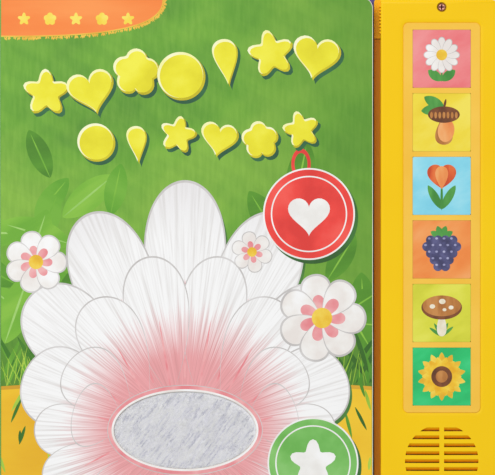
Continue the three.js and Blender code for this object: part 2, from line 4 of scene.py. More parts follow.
import bmesh
import bpy
import numpy as np
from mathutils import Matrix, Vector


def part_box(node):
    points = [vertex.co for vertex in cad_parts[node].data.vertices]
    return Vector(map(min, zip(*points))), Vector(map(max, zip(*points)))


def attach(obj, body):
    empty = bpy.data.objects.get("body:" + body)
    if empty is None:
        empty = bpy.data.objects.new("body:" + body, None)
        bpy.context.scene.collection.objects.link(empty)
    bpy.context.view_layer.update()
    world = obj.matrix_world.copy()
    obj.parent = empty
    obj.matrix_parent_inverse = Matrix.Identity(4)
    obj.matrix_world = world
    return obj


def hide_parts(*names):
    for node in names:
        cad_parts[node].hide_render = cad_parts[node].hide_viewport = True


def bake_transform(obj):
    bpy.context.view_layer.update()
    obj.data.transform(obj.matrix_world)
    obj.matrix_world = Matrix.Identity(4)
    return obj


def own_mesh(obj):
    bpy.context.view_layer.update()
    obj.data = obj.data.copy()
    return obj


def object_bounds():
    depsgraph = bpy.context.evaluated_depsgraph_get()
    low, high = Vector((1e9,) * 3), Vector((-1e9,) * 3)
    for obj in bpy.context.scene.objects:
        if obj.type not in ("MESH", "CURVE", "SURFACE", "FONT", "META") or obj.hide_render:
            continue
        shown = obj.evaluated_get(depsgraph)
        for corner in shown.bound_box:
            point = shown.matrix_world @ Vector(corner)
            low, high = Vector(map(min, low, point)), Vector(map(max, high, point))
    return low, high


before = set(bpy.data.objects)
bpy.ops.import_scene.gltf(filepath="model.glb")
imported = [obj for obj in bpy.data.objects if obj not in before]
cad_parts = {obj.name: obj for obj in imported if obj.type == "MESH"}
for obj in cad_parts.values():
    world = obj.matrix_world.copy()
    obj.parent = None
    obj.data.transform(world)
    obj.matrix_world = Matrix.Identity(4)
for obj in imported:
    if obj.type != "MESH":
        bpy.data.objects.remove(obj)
cad_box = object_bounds()

# The view: a camera straight above the closed book, which lies on its back board.
# The photograph's frame is 495 by 475 pixels, and 0.4 mm of the cover lies under each pixel.
MM = 0.001
PIXEL = 0.4 * MM
(SPINE_X, FOOT_Y, COVER_UNDER), (FORE_X, HEAD_Y, COVER_TOP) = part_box("front_cover")
HEAD_PIXEL = -3.6
HALF_FRAME = 247.5
MIDDLE_ROW = 237.5
CAMERA_HEIGHT = 3.0


def placed(name, data):
    """A new object in the scene that holds some data."""
    made = bpy.data.objects.new(name, data)
    bpy.context.scene.collection.objects.link(made)
    return made


lens = bpy.data.cameras.new("view")
lens.sensor_width = 36.0
lens.lens = 0.5 * lens.sensor_width * (CAMERA_HEIGHT - COVER_TOP) / (HALF_FRAME * PIXEL)
camera = placed("view", lens)
camera.location = (
    SPINE_X + HALF_FRAME * PIXEL,
    HEAD_Y - (MIDDLE_ROW - HEAD_PIXEL) * PIXEL,
    CAMERA_HEIGHT,
)
bpy.context.scene.camera = camera
bpy.context.scene.view_settings.view_transform = "Standard"

# The studio: even light from a pale surround, one broad lamp above the head, a pale floor.
# The light is level enough that a printed colour comes out about as it is written.
SURROUND = 0.6
SEEN_SURROUND = 0.9
LAMP_WATTS = 7.5
LAMP_SIZE = 0.9
LAMP_PLACE = (-0.45, 0.65, 1.0)
LAMP_TILT = (math.radians(-29), math.radians(-19), 0)
FLOOR_SIZE = 4.0
FLOOR_DROP = 0.2 * MM
COAT_ROUGHNESS = 0.18


def srgb(code):
    """The linear colour of a six-digit colour code."""
    channels = [int(code[i : i + 2], 16) / 255 for i in (0, 2, 4)]
    linear = [c / 12.92 if c <= 0.04045 else ((c + 0.055) / 1.055) ** 2.4 for c in channels]
    return (*linear, 1.0)


def feed(tree, socket, value):
    """Link another node's output to a socket, or set the socket's own value."""
    if isinstance(value, bpy.types.NodeSocket):
        tree.links.new(value, socket)
    elif isinstance(value, str):
        socket.default_value = srgb(value)
    else:
        socket.default_value = value


def add(tree, kind, inputs=None, **settings):
    made = tree.nodes.new("ShaderNode" + kind)
    for key, value in settings.items():
        setattr(made, key, value)
    for key, value in (inputs or {}).items():
        feed(tree, made.inputs[key], value)
    return made


def calc(tree, operation, first, second):
    return add(tree, "Math", {0: first, 1: second}, operation=operation).outputs[0]


def here(tree, axis=None):
    """The object's own coordinates, or one of the three."""
    place = add(tree, "TexCoord").outputs["Object"]
    return add(tree, "SeparateXYZ", {0: place}).outputs[axis] if axis else place


def new_finish(name, roughness, coat=0.0, metallic=0.0, gloss=0.35):
    """A material with its main surface node, ready for its colour and relief."""
    material = bpy.data.materials.new(name)
    material.use_nodes = True
    tree = material.node_tree
    surface = tree.nodes["Principled BSDF"]
    for key, value in (
        ("Roughness", roughness), ("Metallic", metallic), ("Specular IOR Level", gloss),
        ("Coat Weight", coat), ("Coat Roughness", COAT_ROUGHNESS),
    ):
        surface.inputs[key].default_value = value
    return material, tree, surface


def grain(tree, scale, stretch=(1.0, 1.0, 1.0), turn=0.0, detail=4.0):
    """Noise on the object's own coordinates, drawn out along a turned direction."""
    drawn = add(
        tree, "Mapping", {"Vector": here(tree), "Rotation": (0, 0, turn), "Scale": stretch},
        vector_type="TEXTURE",
    )
    return add(
        tree, "TexNoise", {"Vector": drawn.outputs[0], "Scale": scale, "Detail": detail}
    ).outputs[0]


def ramp(tree, factor, stops):
    """Colours laid along a factor, as (place, colour code) pairs."""
    made = add(tree, "ValToRGB", {"Fac": factor})
    elements = made.color_ramp.elements
    elements.remove(elements[-1])
    elements[0].position, elements[0].color = stops[0][0], srgb(stops[0][1])
    for place, code in stops[1:]:
        elements.new(place).color = srgb(code)
    return made.outputs[0]


def mixed(tree, factor, low, high):
    return add(tree, "Mix", {0: factor, 6: low, 7: high}, data_type="RGBA").outputs[2]


def paint(tree, surface, colour):
    feed(tree, surface.inputs["Base Color"], colour)


def relief(tree, surface, height, depth, strength=0.5):
    made = add(tree, "Bump", {"Height": height, "Strength": strength, "Distance": depth})
    tree.links.new(made.outputs[0], surface.inputs["Normal"])


def object_from(name, bm, *materials):
    """An object in the scene, made of a bmesh that isn't needed any more."""
    mesh = bpy.data.meshes.new(name)
    bm.to_mesh(mesh)
    bm.free()
    for material in materials:
        mesh.materials.append(material)
    return placed(name, mesh)


world = bpy.data.worlds.new("surround")
bpy.context.scene.world = world
world.use_nodes = True
air = world.node_tree
rays = add(air, "LightPath").outputs
seen = calc(air, "MAXIMUM", rays["Is Camera Ray"], rays["Is Glossy Ray"])
strength = add(air, "MapRange", {"Value": seen, "To Min": SURROUND, "To Max": SEEN_SURROUND})
backdrop = air.nodes["Background"]
backdrop.inputs["Color"].default_value = (1.0, 1.0, 1.0, 1.0)
feed(air, backdrop.inputs["Strength"], strength.outputs[0])

lamp_data = bpy.data.lights.new("softbox", "AREA")
lamp_data.energy = LAMP_WATTS
lamp_data.size = LAMP_SIZE
lamp = placed("softbox", lamp_data)
lamp.location = LAMP_PLACE
lamp.rotation_euler = LAMP_TILT

pale_floor, tree, surface = new_finish("pale_floor", 0.8)
paint(tree, surface, ramp(tree, grain(tree, 3.0), [(0.3, "E9E8E6"), (0.7, "EFEEEC")]))
bm = bmesh.new()
bmesh.ops.create_grid(bm, x_segments=1, y_segments=1, size=FLOOR_SIZE / 2)
bmesh.ops.translate(bm, verts=bm.verts, vec=(0, 0, -FLOOR_DROP))
floor = object_from("floor", bm, pale_floor)

# Covers and leaves: grey-white board, printed and laminated on both faces, die cut to shape.
# The cut edges show the board's own fibres and layers, and are softened by the cutting.
BOARD_BEVEL = 0.4 * MM
LEAF_BEVEL = 0.1 * MM
WELD = 0.002 * MM
FLAT_WITHIN = math.radians(0.5)
CRISP_OVER = math.radians(35)
SHARP_OVER = math.radians(32)
FOLD = 0.8 * MM
FOLD_GREEN = "5C9E3C"
LAMINATE = 0.1
PRINT_GRAIN = 1500.0
GRAIN_DEPTH = 0.02 * MM
PRINTED_ABOVE = 0.97
CORE_LIGHT = "FFFFFB"
CORE_DARK = "E9E4D8"


def piece_from(name, bm, materials, body, slot, *replaced):
    """Turn a bmesh into a piece of the book that rides on a body."""
    piece = object_from(name, bm, *materials)
    if body:
        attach(piece, body)
    if replaced:
        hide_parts(*replaced)
    return piece


def moulded_copy(name, node, material, body, slot, bevel=0.0):
    """The node's own shape with its edges eased and its round stretches shaded smooth."""
    bm = bmesh.new()
    bm.from_mesh(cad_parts[node].data)
    bmesh.ops.remove_doubles(bm, verts=bm.verts, dist=WELD)
    bmesh.ops.dissolve_limit(bm, angle_limit=FLAT_WITHIN, verts=bm.verts, edges=bm.edges)
    crisp = [e for e in bm.edges if e.is_manifold and e.calc_face_angle() > CRISP_OVER]
    if bevel:
        bmesh.ops.bevel(
            bm, geom=crisp, offset=bevel, segments=2, profile=0.5, affect="EDGES",
            clamp_overlap=True, material=-1,
        )
    for edge in bm.edges:
        edge.smooth = not (edge.is_manifold and edge.calc_face_angle() > SHARP_OVER)
    for face in bm.faces:
        face.smooth = True
        face.material_index = 0
    piece = piece_from(name, bm, [material], body, slot, node)
    even = piece.modifiers.new("even_shading", "WEIGHTED_NORMAL")
    even.keep_sharp = True
    return piece


def board_finish(name, top, under, roughness=0.36):
    """Printed faces above and below, bare board on the cut edges. top and under paint a face."""
    material, tree, surface = new_finish(name, roughness, coat=LAMINATE)
    flat = add(
        tree, "VectorTransform", {0: add(tree, "NewGeometry").outputs["True Normal"]},
        vector_type="NORMAL", convert_from="WORLD", convert_to="OBJECT",
    )
    facing = add(tree, "SeparateXYZ", {0: flat.outputs[0]}).outputs["Z"]
    is_top = calc(tree, "GREATER_THAN", facing, PRINTED_ABOVE)
    is_under = calc(tree, "LESS_THAN", facing, -PRINTED_ABOVE)
    folded = calc(tree, "LESS_THAN", here(tree, "X"), SPINE_X + FOLD)
    layers = grain(tree, 2600.0, (40.0, 40.0, 1.0), detail=3.0)
    bare = ramp(tree, layers, [(0.35, CORE_DARK), (0.6, CORE_LIGHT)])
    core = mixed(tree, folded, bare, FOLD_GREEN)
    printed = mixed(tree, is_top, core, top(tree))
    paint(tree, surface, mixed(tree, is_under, printed, under(tree)))
    relief(tree, surface, grain(tree, PRINT_GRAIN), GRAIN_DEPTH, 0.25)
    return material


def along(tree, axis, start, end):
    """0 at start and 1 at end along one of the object's axes."""
    reached = {"Value": here(tree, axis), "From Min": start, "From Max": end}
    return add(tree, "MapRange", reached).outputs[0]


def meadow(tree):
    """Blurred leaves in the light, darker towards the fore edge and the grass."""
    blades = grain(tree, 34.0, (2.6, 1.0, 1.0), math.radians(38), 3.0)
    soft = ramp(tree, blades, [(0.32, "4F8A26"), (0.5, "6AA92E"), (0.66, "90C044")])
    veins = grain(tree, 120.0, (5.0, 1.0, 1.0), math.radians(-30), 3.0)
    fine = ramp(tree, veins, [(0.4, "52912A"), (0.62, "80B83C")])
    leafy = mixed(tree, 0.3, soft, fine)
    weave = ramp(tree, grain(tree, 700.0, (1.0, 7.0, 1.0)), [(0.35, "5E9A2E"), (0.65, "8ABE4C")])
    painted = mixed(tree, 0.22, leafy, weave)
    deep = mixed(tree, along(tree, "X", FORE_X - 0.07, FORE_X), painted, "528820")
    shade = calc(tree, "MULTIPLY", along(tree, "Y", -0.01, -0.05), 0.6)
    return mixed(tree, shade, mixed(tree, 0.45, painted, deep), "3A6A1A")


def endpaper(tree):
    return ramp(tree, grain(tree, 22.0, detail=6.0), [(0.3, "D8E9B4"), (0.7, "EAF3CE")])


def violet_inside(tree):
    return ramp(tree, grain(tree, 30.0, detail=6.0), [(0.3, "413A78"), (0.7, "544B92")])


cover_print = board_finish("cover_print_and_board", meadow, endpaper)
moulded_copy("cover_board", "front_cover", cover_print, "cover", "cover_board", BOARD_BEVEL)


def sky_page(tree):
    """The first leaf's picture field: pale sky down to a pale meadow."""
    heights = [(0.0, "9CCB62"), (0.28, "C7E08C"), (0.36, "CBEBF5"), (1.0, "A4DAEF")]
    wash = ramp(tree, grain(tree, 26.0, detail=6.0), [(0.35, "B8E0EE"), (0.7, "F2FAFC")])
    return mixed(tree, 0.3, ramp(tree, along(tree, "Y", FOOT_Y, HEAD_Y), heights), wash)


leaf_print = board_finish("leaf_print_and_board", sky_page, endpaper, 0.42)
moulded_copy("leaf_block", "page_block", leaf_print, "root", "leaf_board", LEAF_BEVEL)

PANEL_CENTRE = (0.0, 0.012)
PANEL_RADIUS = 53.5 * MM
HILL_HEAD = -55 * MM
HILL_FOOT = -62 * MM


def from_axis(tree, axis):
    """How far a point lies from an upright axis, given as (x, y)."""
    level = add(tree, "Mapping", {"Vector": here(tree), "Scale": (1, 1, 0)}).outputs[0]
    return add(
        tree, "VectorMath", {0: level, 1: (*axis, 0)}, operation="DISTANCE"
    ).outputs["Value"]


def back_field(tree):
    """The outside of the back board: the meadow again, with one pale round panel."""
    share = calc(tree, "MULTIPLY", from_axis(tree, PANEL_CENTRE), 1 / PANEL_RADIUS)
    rings = ramp(
        tree, share, [(0.0, "F3F1D2"), (0.93, "F3F1D2"), (0.94, "F7C93A"), (1.0, "F7C93A")]
    )
    fall = along(tree, "Y", HILL_HEAD, HILL_FOOT)
    hill = ramp(tree, fall, [(0.0, "5E9F3E"), (1.0, "EBBE33")])
    field = mixed(tree, fall, meadow(tree), hill)
    return mixed(tree, calc(tree, "LESS_THAN", share, 1.0), field, rings)


back_print = board_finish("back_print_and_board", violet_inside, back_field)
moulded_copy("back_board", "back_cover", back_print, "root", "back_board", BOARD_BEVEL)

# Spine: one strip of laminated print that is glued round the bound edge and both boards.
# In the book it folds at the front cover's hinge; here it is one upright strip of many rows.
WRAP_X = SPINE_X - 0.03 * MM
WRAP_THICKNESS = 0.12 * MM
WRAP_FOOT = 0.1 * MM
WRAP_BENDS = 44
WRAP_SHORT = 0.05 * MM


def ink(name, tones, scale=60.0, stretch=(1.0, 1.0, 1.0), turn=0.0, roughness=0.36):
    """A printed colour with painted strokes of three tones in it, under the laminate."""
    material, tree, surface = new_finish(name, roughness, coat=LAMINATE)
    strokes = grain(tree, scale, stretch, turn, 5.0)
    paint(tree, surface, ramp(tree, strokes, list(zip((0.36, 0.5, 0.64), tones.split()))))
    relief(tree, surface, grain(tree, PRINT_GRAIN), GRAIN_DEPTH, 0.25)
    return material


spine_ink = ink("spine_ink", "3F7F2E 4F9438 5FA544", 40.0, (1, 3, 1))
bm = bmesh.new()
foot = bm.verts.new((WRAP_X, FOOT_Y, WRAP_FOOT))
head = bm.verts.new((WRAP_X, HEAD_Y, WRAP_FOOT))
edge = bm.edges.new((foot, head))
wrap_rise = (COVER_TOP - WRAP_FOOT - WRAP_SHORT) / WRAP_BENDS
for _ in range(WRAP_BENDS):
    grown = bmesh.ops.extrude_edge_only(bm, edges=[edge])["geom"]
    rim = [g for g in grown if isinstance(g, bmesh.types.BMVert)]
    bmesh.ops.translate(bm, verts=rim, vec=(0, 0, wrap_rise))
    edges = [g for g in grown if isinstance(g, bmesh.types.BMEdge)]
    edge = next(e for e in edges if all(v in rim for v in e.verts))
bmesh.ops.recalc_face_normals(bm, faces=bm.faces)
bmesh.ops.solidify(bm, geom=bm.faces[:], thickness=WRAP_THICKNESS)
for face in bm.faces:
    face.smooth = True
bmesh.ops.recalc_face_normals(bm, faces=bm.faces)
spine_wrap = piece_from("spine_wrap", bm, [spine_ink], None, "spine_card")
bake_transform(spine_wrap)
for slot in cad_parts["spine_strip"].material_slots:
    slot.material = spine_ink

# Cover picture: a generic meadow print of flat painted shapes, each a film-thin plate on the board.
# A large white flower frames the touch window, with yellow shapes, two round badges and grass.
INK_STEP = 0.001 * MM
INK_BED = 0.02 * MM
SHAPE_SIDES = 44
LARGE_SIDES = 128
LARGE = 12 * MM
SLENDER = 3 * MM
HAIR_SIDES = 16
HAIRLINE = 0.5 * MM


def disc(t):
    return math.cos(t), math.sin(t)


def star(t):
    r = 0.78 + 0.22 * math.cos(5 * t)
    return -r * math.sin(t), r * math.cos(t)


def blossom(t):
    r = 0.72 + 0.28 * abs(math.cos(2.5 * t)) ** 0.7
    return -r * math.sin(t), r * math.cos(t)


def heart(t):
    rise = 13 * math.cos(t) - 5 * math.cos(2 * t) - 2 * math.cos(3 * t) - math.cos(4 * t)
    return math.sin(t) ** 3, rise / 16


def petal(t):
    return math.sin(t) * abs(math.sin(t / 2)) ** 1.1 * 0.62, (1 - math.cos(t)) / 2


def leaf(t):
    return math.copysign(abs(math.sin(t)) ** 1.5, math.sin(t)) * 0.5, (1 - math.cos(t)) / 2


def drop(t):
    return math.sin(t) * math.sin(t / 2) ** 2 * 0.8, -math.cos(t)


def pillow(t, power=6):
    c, s = math.cos(t), math.sin(t)
    r = (abs(c) ** power + abs(s) ** power) ** (-1 / power)
    return r * c, r * s


def bun(t):
    return pillow(t, 2.8)


def over_window(bm, window):
    """Whether a shape's own box reaches into the window's."""
    for axis in (0, 1):
        places = [v.co[axis] for v in bm.verts]
        low = min(v.co[axis] for v in window.data.vertices)
        high = max(v.co[axis] for v in window.data.vertices)
        if max(places) < low or min(places) > high:
            return False
    return True


def die_cut(mesh, window):
    """The part of a printed shape that is left outside the window."""
    holder = placed("scratch", mesh)
    cut = holder.modifiers.new("die", "BOOLEAN")
    cut.operation = "DIFFERENCE"
    cut.solver = "EXACT"
    cut.object = window
    shown = holder.evaluated_get(bpy.context.evaluated_depsgraph_get())
    left = bpy.data.meshes.new_from_object(shown)
    bpy.data.objects.remove(holder)
    bpy.data.meshes.remove(mesh)
    return left


def raise_to(bm, top):
    """Give flat faces a thickness, up to the level top."""
    grown = bmesh.ops.extrude_face_region(bm, geom=bm.faces[:])["geom"]
    for vertex in (g for g in grown if isinstance(g, bmesh.types.BMVert)):
        vertex.co.z = top
    bmesh.ops.recalc_face_normals(bm, faces=bm.faces)


class Print:
    """A stack of flat shapes. Each lies a hair above the earlier shapes that it can overlap."""

    def __init__(self, face_z, low, high, way=1, window=None):
        self.bm = bmesh.new()
        self.way = way
        self.window = window
        self.face_z = face_z
        self.low = low
        self.high = high
        self.laid = []
        self.inks = []

    def stack(self, bm, material):
        """Give a flat shape its thickness, cut it at the board's edges, and lay it on top."""
        for normal in ((-1, 0, 0), (1, 0, 0), (0, -1, 0), (0, 1, 0)):
            limit = self.low if min(normal) < 0 else self.high
            everything = bm.verts[:] + bm.edges[:] + bm.faces[:]
            bmesh.ops.bisect_plane(
                bm, geom=everything, plane_co=(*limit, 0), plane_no=normal, clear_outer=True
            )
        if bm.faces:
            if material not in self.inks:
                self.inks.append(material)
            top = self.face_z + self.way * INK_STEP * self.level_over(bm)
            for vertex in bm.verts:
                vertex.co.z = self.face_z - self.way * INK_BED
            raise_to(bm, top)
            for face in bm.faces:
                face.material_index = self.inks.index(material)
            scratch = bpy.data.meshes.new("scratch")
            bm.to_mesh(scratch)
            if self.window and over_window(bm, self.window):
                scratch = die_cut(scratch, self.window)
            self.bm.from_mesh(scratch)
            bpy.data.meshes.remove(scratch)
        bm.free()

    def level_over(self, bm):
        """The first level above all shapes whose boxes meet this shape's box."""
        xs = [v.co.x for v in bm.verts]
        ys = [v.co.y for v in bm.verts]
        own = (min(xs), max(xs), min(ys), max(ys))
        below = [
            level for west, east, south, north, level in self.laid
            if west < own[1] and east > own[0] and south < own[3] and north > own[2]
        ]
        self.laid.append((*own, max(below, default=0) + 1))
        return self.laid[-1][4]

    def shape(self, form, x, y, size, material, turn=0.0, grow=1.0):
        """One outline at x, y. size is (across, along) or one number; turn is in degrees."""
        if isinstance(size, float):
            size = (size, size)
        bm = bmesh.new()
        sides = SHAPE_SIDES
        if max(size) > LARGE and min(size) > SLENDER:
            sides = LARGE_SIDES
        elif min(size) < HAIRLINE:
            sides = HAIR_SIDES
        bmesh.ops.create_circle(bm, cap_ends=True, radius=1.0, segments=sides)
        c, s = math.cos(math.radians(turn)), math.sin(math.radians(turn))
        for step, vertex in enumerate(bm.verts):
            u, v = form(math.tau * step / sides)
            u, v = u * size[0] * grow, v * size[1] * grow
            vertex.co = (x + u * c - v * s, y + u * s + v * c, 0)
        self.stack(bm, material)

    def pair(self, form, x, y, size, material, turn, middle=0.0):
        """Two shapes that lean apart by turn on both sides of the middle."""
        for side in (-1, 1):
            self.shape(form, x, y, size, material, middle + side * turn)

    def ring(self, x, y, inner, outer, material):
        """A flat ring between two ovals, each given as (half width, half height)."""
        bm = bmesh.new()
        loops = []
        sides = 2 * SHAPE_SIDES
        for half in (inner, outer):
            made = bmesh.ops.create_circle(bm, cap_ends=False, radius=1.0, segments=sides)
            for step, vertex in enumerate(made["verts"]):
                angle = math.tau * step / sides
                vertex.co = (x + half[0] * math.cos(angle), y + half[1] * math.sin(angle), 0)
            loops += list({e for v in made["verts"] for e in v.link_edges})
        bmesh.ops.bridge_loops(bm, edges=loops)
        self.stack(bm, material)


def on_cover(u, v):
    """The cover's own place under a pixel of the photograph's frame."""
    return SPINE_X + u * PIXEL, HEAD_Y - (v - HEAD_PIXEL) * PIXEL


EDGE = 0.45 * MM
WINDOW_SLACK = 0.06 * MM
WINDOW_HALF = (28.5 * MM, 15.5 * MM)
WINDOW_SIDES = 96
DIE_DEPTH = 6 * MM
patch_low, patch_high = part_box("touch_patch")
heart_x = (patch_low[0] + patch_high[0]) / 2
heart_y = (patch_low[1] + patch_high[1]) / 2
bm = bmesh.new()
bmesh.ops.create_cone(
    bm, cap_ends=True, segments=WINDOW_SIDES, radius1=1.0, radius2=1.0, depth=DIE_DEPTH,
)
bmesh.ops.scale(bm, verts=bm.verts, vec=(*(h + WINDOW_SLACK for h in WINDOW_HALF), 1))
bmesh.ops.translate(bm, verts=bm.verts, vec=(heart_x, heart_y, COVER_TOP))
window_die = object_from("window_die", bm)
cover_art = Print(
    COVER_TOP, (SPINE_X + EDGE, FOOT_Y + EDGE), (FORE_X - EDGE, HEAD_Y - EDGE), window=window_die
)
chance = random.Random(11)

# Background leaves: large soft leaves, each printed with a midrib in another green.
# They fill the meadow behind the flower and grow darker towards the fore edge.
LEAF_COUNT = 34
LEAF_BREADTH = 0.42
RIB_SHARE = (0.03, 0.92)
MIDDLE_PIXEL = 186
leaf_inks = [
    ink("leaf_light", "6AAC30 7BB938 8EC644", 70.0, (4, 1, 1), 0.6),
    ink("leaf_middle", "5AA028 67AA2E 75B438", 70.0, (4, 1, 1), -0.5),
    ink("leaf_deep", "467F1C 529022 60A02A", 70.0, (4, 1, 1), 0.2),
]
rib_ink = ink("leaf_rib", "8EC65B 9ED06A ADD97A", 90.0)
for number in range(LEAF_COUNT):
    u, v = chance.uniform(-10, 372), chance.uniform(175, 350)
    x, y = on_cover(u, v)
    turn = chance.uniform(-75, 75) - (20 if u > MIDDLE_PIXEL else -20)
    length = chance.uniform(20, 34) * MM
    tone = leaf_inks[2 if u > 300 else number % 3]
    cover_art.shape(leaf, x, y, (length * LEAF_BREADTH, length), tone, turn)
    rib = rib_ink if tone is leaf_inks[0] else leaf_inks[0]
    cover_art.shape(leaf, x, y, [length * share for share in RIB_SHARE], rib, turn)

# Ground: a warm yellow hill along the foot, printed with tufts of grass along its rise.
# Broad dark blades and fine light ones stand behind the hill, and short ones grow on it.
BLADE_COUNT = 110
FINE_COUNT = 150
TUFT_COUNT = 46
BLADE_WIDTH = 1.9 * MM
FINE_WIDTH = 0.32 * MM
SHORT_WIDTH = 1.3 * MM
HILL_WIDE = 112 * MM
HILL_HIGH = 69 * MM
HILL_RIM = 1.5 * MM
ground_ink = ink("ground_ink", "EBB41C F4C424 FACF30", 30.0, (3, 1, 1))
ground_shade = ink("ground_shade", "CC9820 DAA626 E4B432", 40.0, (3, 1, 1))
blade_inks = [
    ink("blade_dark", "2E5F16 37701A 438020", 160.0, (1, 5, 1)),
    ink("blade_middle", "4E8E22 5E9E28 6FAE32", 160.0, (1, 5, 1)),
    ink("blade_light", "88B930 9DC83C B5D64A", 160.0, (1, 5, 1)),
]
hill_x, hill_y = on_cover(MIDDLE_PIXEL, 560)
for number in range(BLADE_COUNT):
    x, y = on_cover(chance.uniform(-4, 376), chance.uniform(372, 396))
    length = chance.uniform(9, 24) * MM
    turn = chance.uniform(-38, 38)
    cover_art.shape(leaf, x, y, (BLADE_WIDTH, length), blade_inks[number % 2], turn)
for number in range(FINE_COUNT):
    x, y = on_cover(chance.uniform(0, 372), chance.uniform(384, 394))
    length = chance.uniform(7, 20) * MM
    turn = chance.uniform(-34, 34)
    cover_art.shape(leaf, x, y, (FINE_WIDTH, length), blade_inks[2], turn)
cover_art.shape(pillow, hill_x, hill_y, (HILL_WIDE, HILL_HIGH + HILL_RIM), ground_shade)
cover_art.shape(pillow, hill_x, hill_y, (HILL_WIDE, HILL_HIGH), ground_ink)
for number in range(TUFT_COUNT):
    x, y = on_cover(chance.uniform(-4, 376), chance.uniform(392, 520))
    length = chance.uniform(5, 13) * MM
    turn = chance.uniform(-32, 32)
    cover_art.shape(leaf, x, y, (SHORT_WIDTH, length), blade_inks[number % 3], turn)

# Large flower: long white petals, flushed with pink where they leave the flower's heart.
# Each petal has a grey rim, and those behind the heart lay a shadow on the leaves.
SIDE_REACH = 60 * MM
HEAD_REACH = 99 * MM
FOOT_REACH = 30.5 * MM
PETAL_BASE = 0.86
SHADOW_SHIFT = (1.4 * MM, -1.6 * MM)


def petal_ink(name, centre, flush, white, tip, reach):
    """Painted petals: the colour runs outwards from the flower's heart, with fine streaks."""
    material, tree, surface = new_finish(name, 0.36, coat=LAMINATE)
    place = add(
        tree, "VectorMath", {0: here(tree), 1: (*centre, COVER_TOP)}, operation="SUBTRACT"
    ).outputs[0]
    away = add(tree, "VectorMath", {0: place}, operation="LENGTH").outputs["Value"]
    share = calc(tree, "MULTIPLY", away, 1 / reach)
    parts = add(tree, "SeparateXYZ", {0: place}).outputs
    angle = calc(tree, "ARCTAN2", parts["Y"], parts["X"])
    polar = add(tree, "CombineXYZ", {"X": angle, "Y": share}).outputs[0]
    drawn = add(tree, "Mapping", {"Vector": polar, "Scale": (70.0, 3.0, 1.0)}).outputs[0]
    streaks = add(tree, "TexNoise", {"Vector": drawn, "Scale": 1.0, "Detail": 5.0}).outputs[0]
    shaken = add(tree, "MapRange", {"Value": streaks, "To Min": -0.16, "To Max": 0.16}).outputs[0]
    run = calc(tree, "ADD", share, shaken)
    body = ramp(tree, run, [(0.3, flush), (0.5, white), (0.78, white), (1.0, tip)])
    shade = ramp(tree, streaks, [(0.34, "D9D5D2"), (0.56, "FFFFFF")])
    shaded = {0: 0.55, 6: body, 7: shade}
    streaked = add(tree, "Mix", shaded, data_type="RGBA", blend_type="MULTIPLY")
    paint(tree, surface, streaked.outputs[2])
    relief(tree, surface, grain(tree, PRINT_GRAIN), GRAIN_DEPTH, 0.25)
    return material


petal_white = petal_ink("petal_white", (heart_x, heart_y), "F3A9AC", "FFFFFF", "F1EFF0", 0.1)
petal_edge = ink("petal_edge", "C6C2C0 D2CFCD DEDBDA", 90.0)
petal_shadow = ink("petal_shadow", "3C6E2C 467C33 528A3B", 80.0)
pink_ink = ink("pink_ink", "EC8A90 F2A0A4 F7B8B8", 120.0)


def petal_reach(angle):
    """How far the petal at this angle runs from the heart, inside the board's edges."""
    rise = math.sin(angle)
    if rise < 0:
        return min(FOOT_REACH / max(-rise, 0.05), SIDE_REACH)
    return SIDE_REACH + (HEAD_REACH - SIDE_REACH) * rise**1.5


def big_petal(degrees, width, share=1.0):
    """A petal from the window's edge outwards. share shortens the petals of the inner row."""
    angle = math.radians(degrees)
    reach = petal_reach(angle) * share
    base_x = heart_x + WINDOW_HALF[0] * PETAL_BASE * math.cos(angle)
    base_y = heart_y + WINDOW_HALF[1] * PETAL_BASE * math.sin(angle)
    tip_x = heart_x + reach * math.cos(angle)
    tip_y = heart_y + reach * math.sin(angle)
    length = math.hypot(tip_x - base_x, tip_y - base_y)
    if math.hypot(base_x - heart_x, base_y - heart_y) > reach * 0.9:
        return
    turn = math.degrees(math.atan2(tip_y - base_y, tip_x - base_x)) - 90
    if share == 1.0 and base_y > heart_y:
        shadow = (base_x + SHADOW_SHIFT[0], base_y + SHADOW_SHIFT[1])
        cover_art.shape(petal, *shadow, (width, length), petal_shadow, turn)
    cover_art.shape(petal, base_x, base_y, (width * 1.035, length * 1.012), petal_edge, turn)
    cover_art.shape(petal, base_x, base_y, (width, length), petal_white, turn)
    cover_art.shape(leaf, base_x, base_y, (width * 0.03, length * 0.55), pink_ink, turn)


for degrees in (90, 66, 114, 42, 138, 20, 160):
    big_petal(degrees, 34 * MM)
for degrees in (0, 180, -22, 202, -45, 225, -68, 248, -90):
    big_petal(degrees, 22 * MM)
cover_art.shape(disc, heart_x, heart_y, [h + 5 * MM for h in WINDOW_HALF], petal_white)
for degrees in (78, 102, 54, 126, 31, 149, 10, 170):
    big_petal(degrees, 27 * MM, 0.72)

# Small flowers, round badges, the orange corner band and rows of yellow shapes across the head.
# All are printed on the cover; the badges and yellow shapes also have a painted shadow.
FEATHER_COUNT = 300
BAND_HALF = (65.5 * MM, 16.2 * MM)
BAND_RIM = 0.5 * MM
TITLE_SIZE = 9.2 * MM
SECOND_SIZE = 7.2 * MM
small_white = ink("small_white", "F0E9E4 F8F5F1 FFFFFF", 90.0)
heart_yellow = ink("heart_yellow", "E8B428 F4C838 FBDC58", 140.0)


def small_flower(u, v, size, petals=7):
    x, y = on_cover(u, v)
    for step in range(petals):
        turn = 360 * step / petals + 12
        cover_art.shape(petal, x, y, (size * 0.78, size * 1.05), petal_edge, turn)
        cover_art.shape(petal, x, y, (size * 0.7, size), small_white, turn)
        cover_art.shape(petal, x, y, (size * 0.3, size * 0.55), pink_ink, turn)
    cover_art.shape(disc, x, y, size * 0.24, heart_yellow)


small_flower(322, 318, 17 * MM)
small_flower(36, 262, 12 * MM)
small_flower(252, 252, 8 * MM, 6)

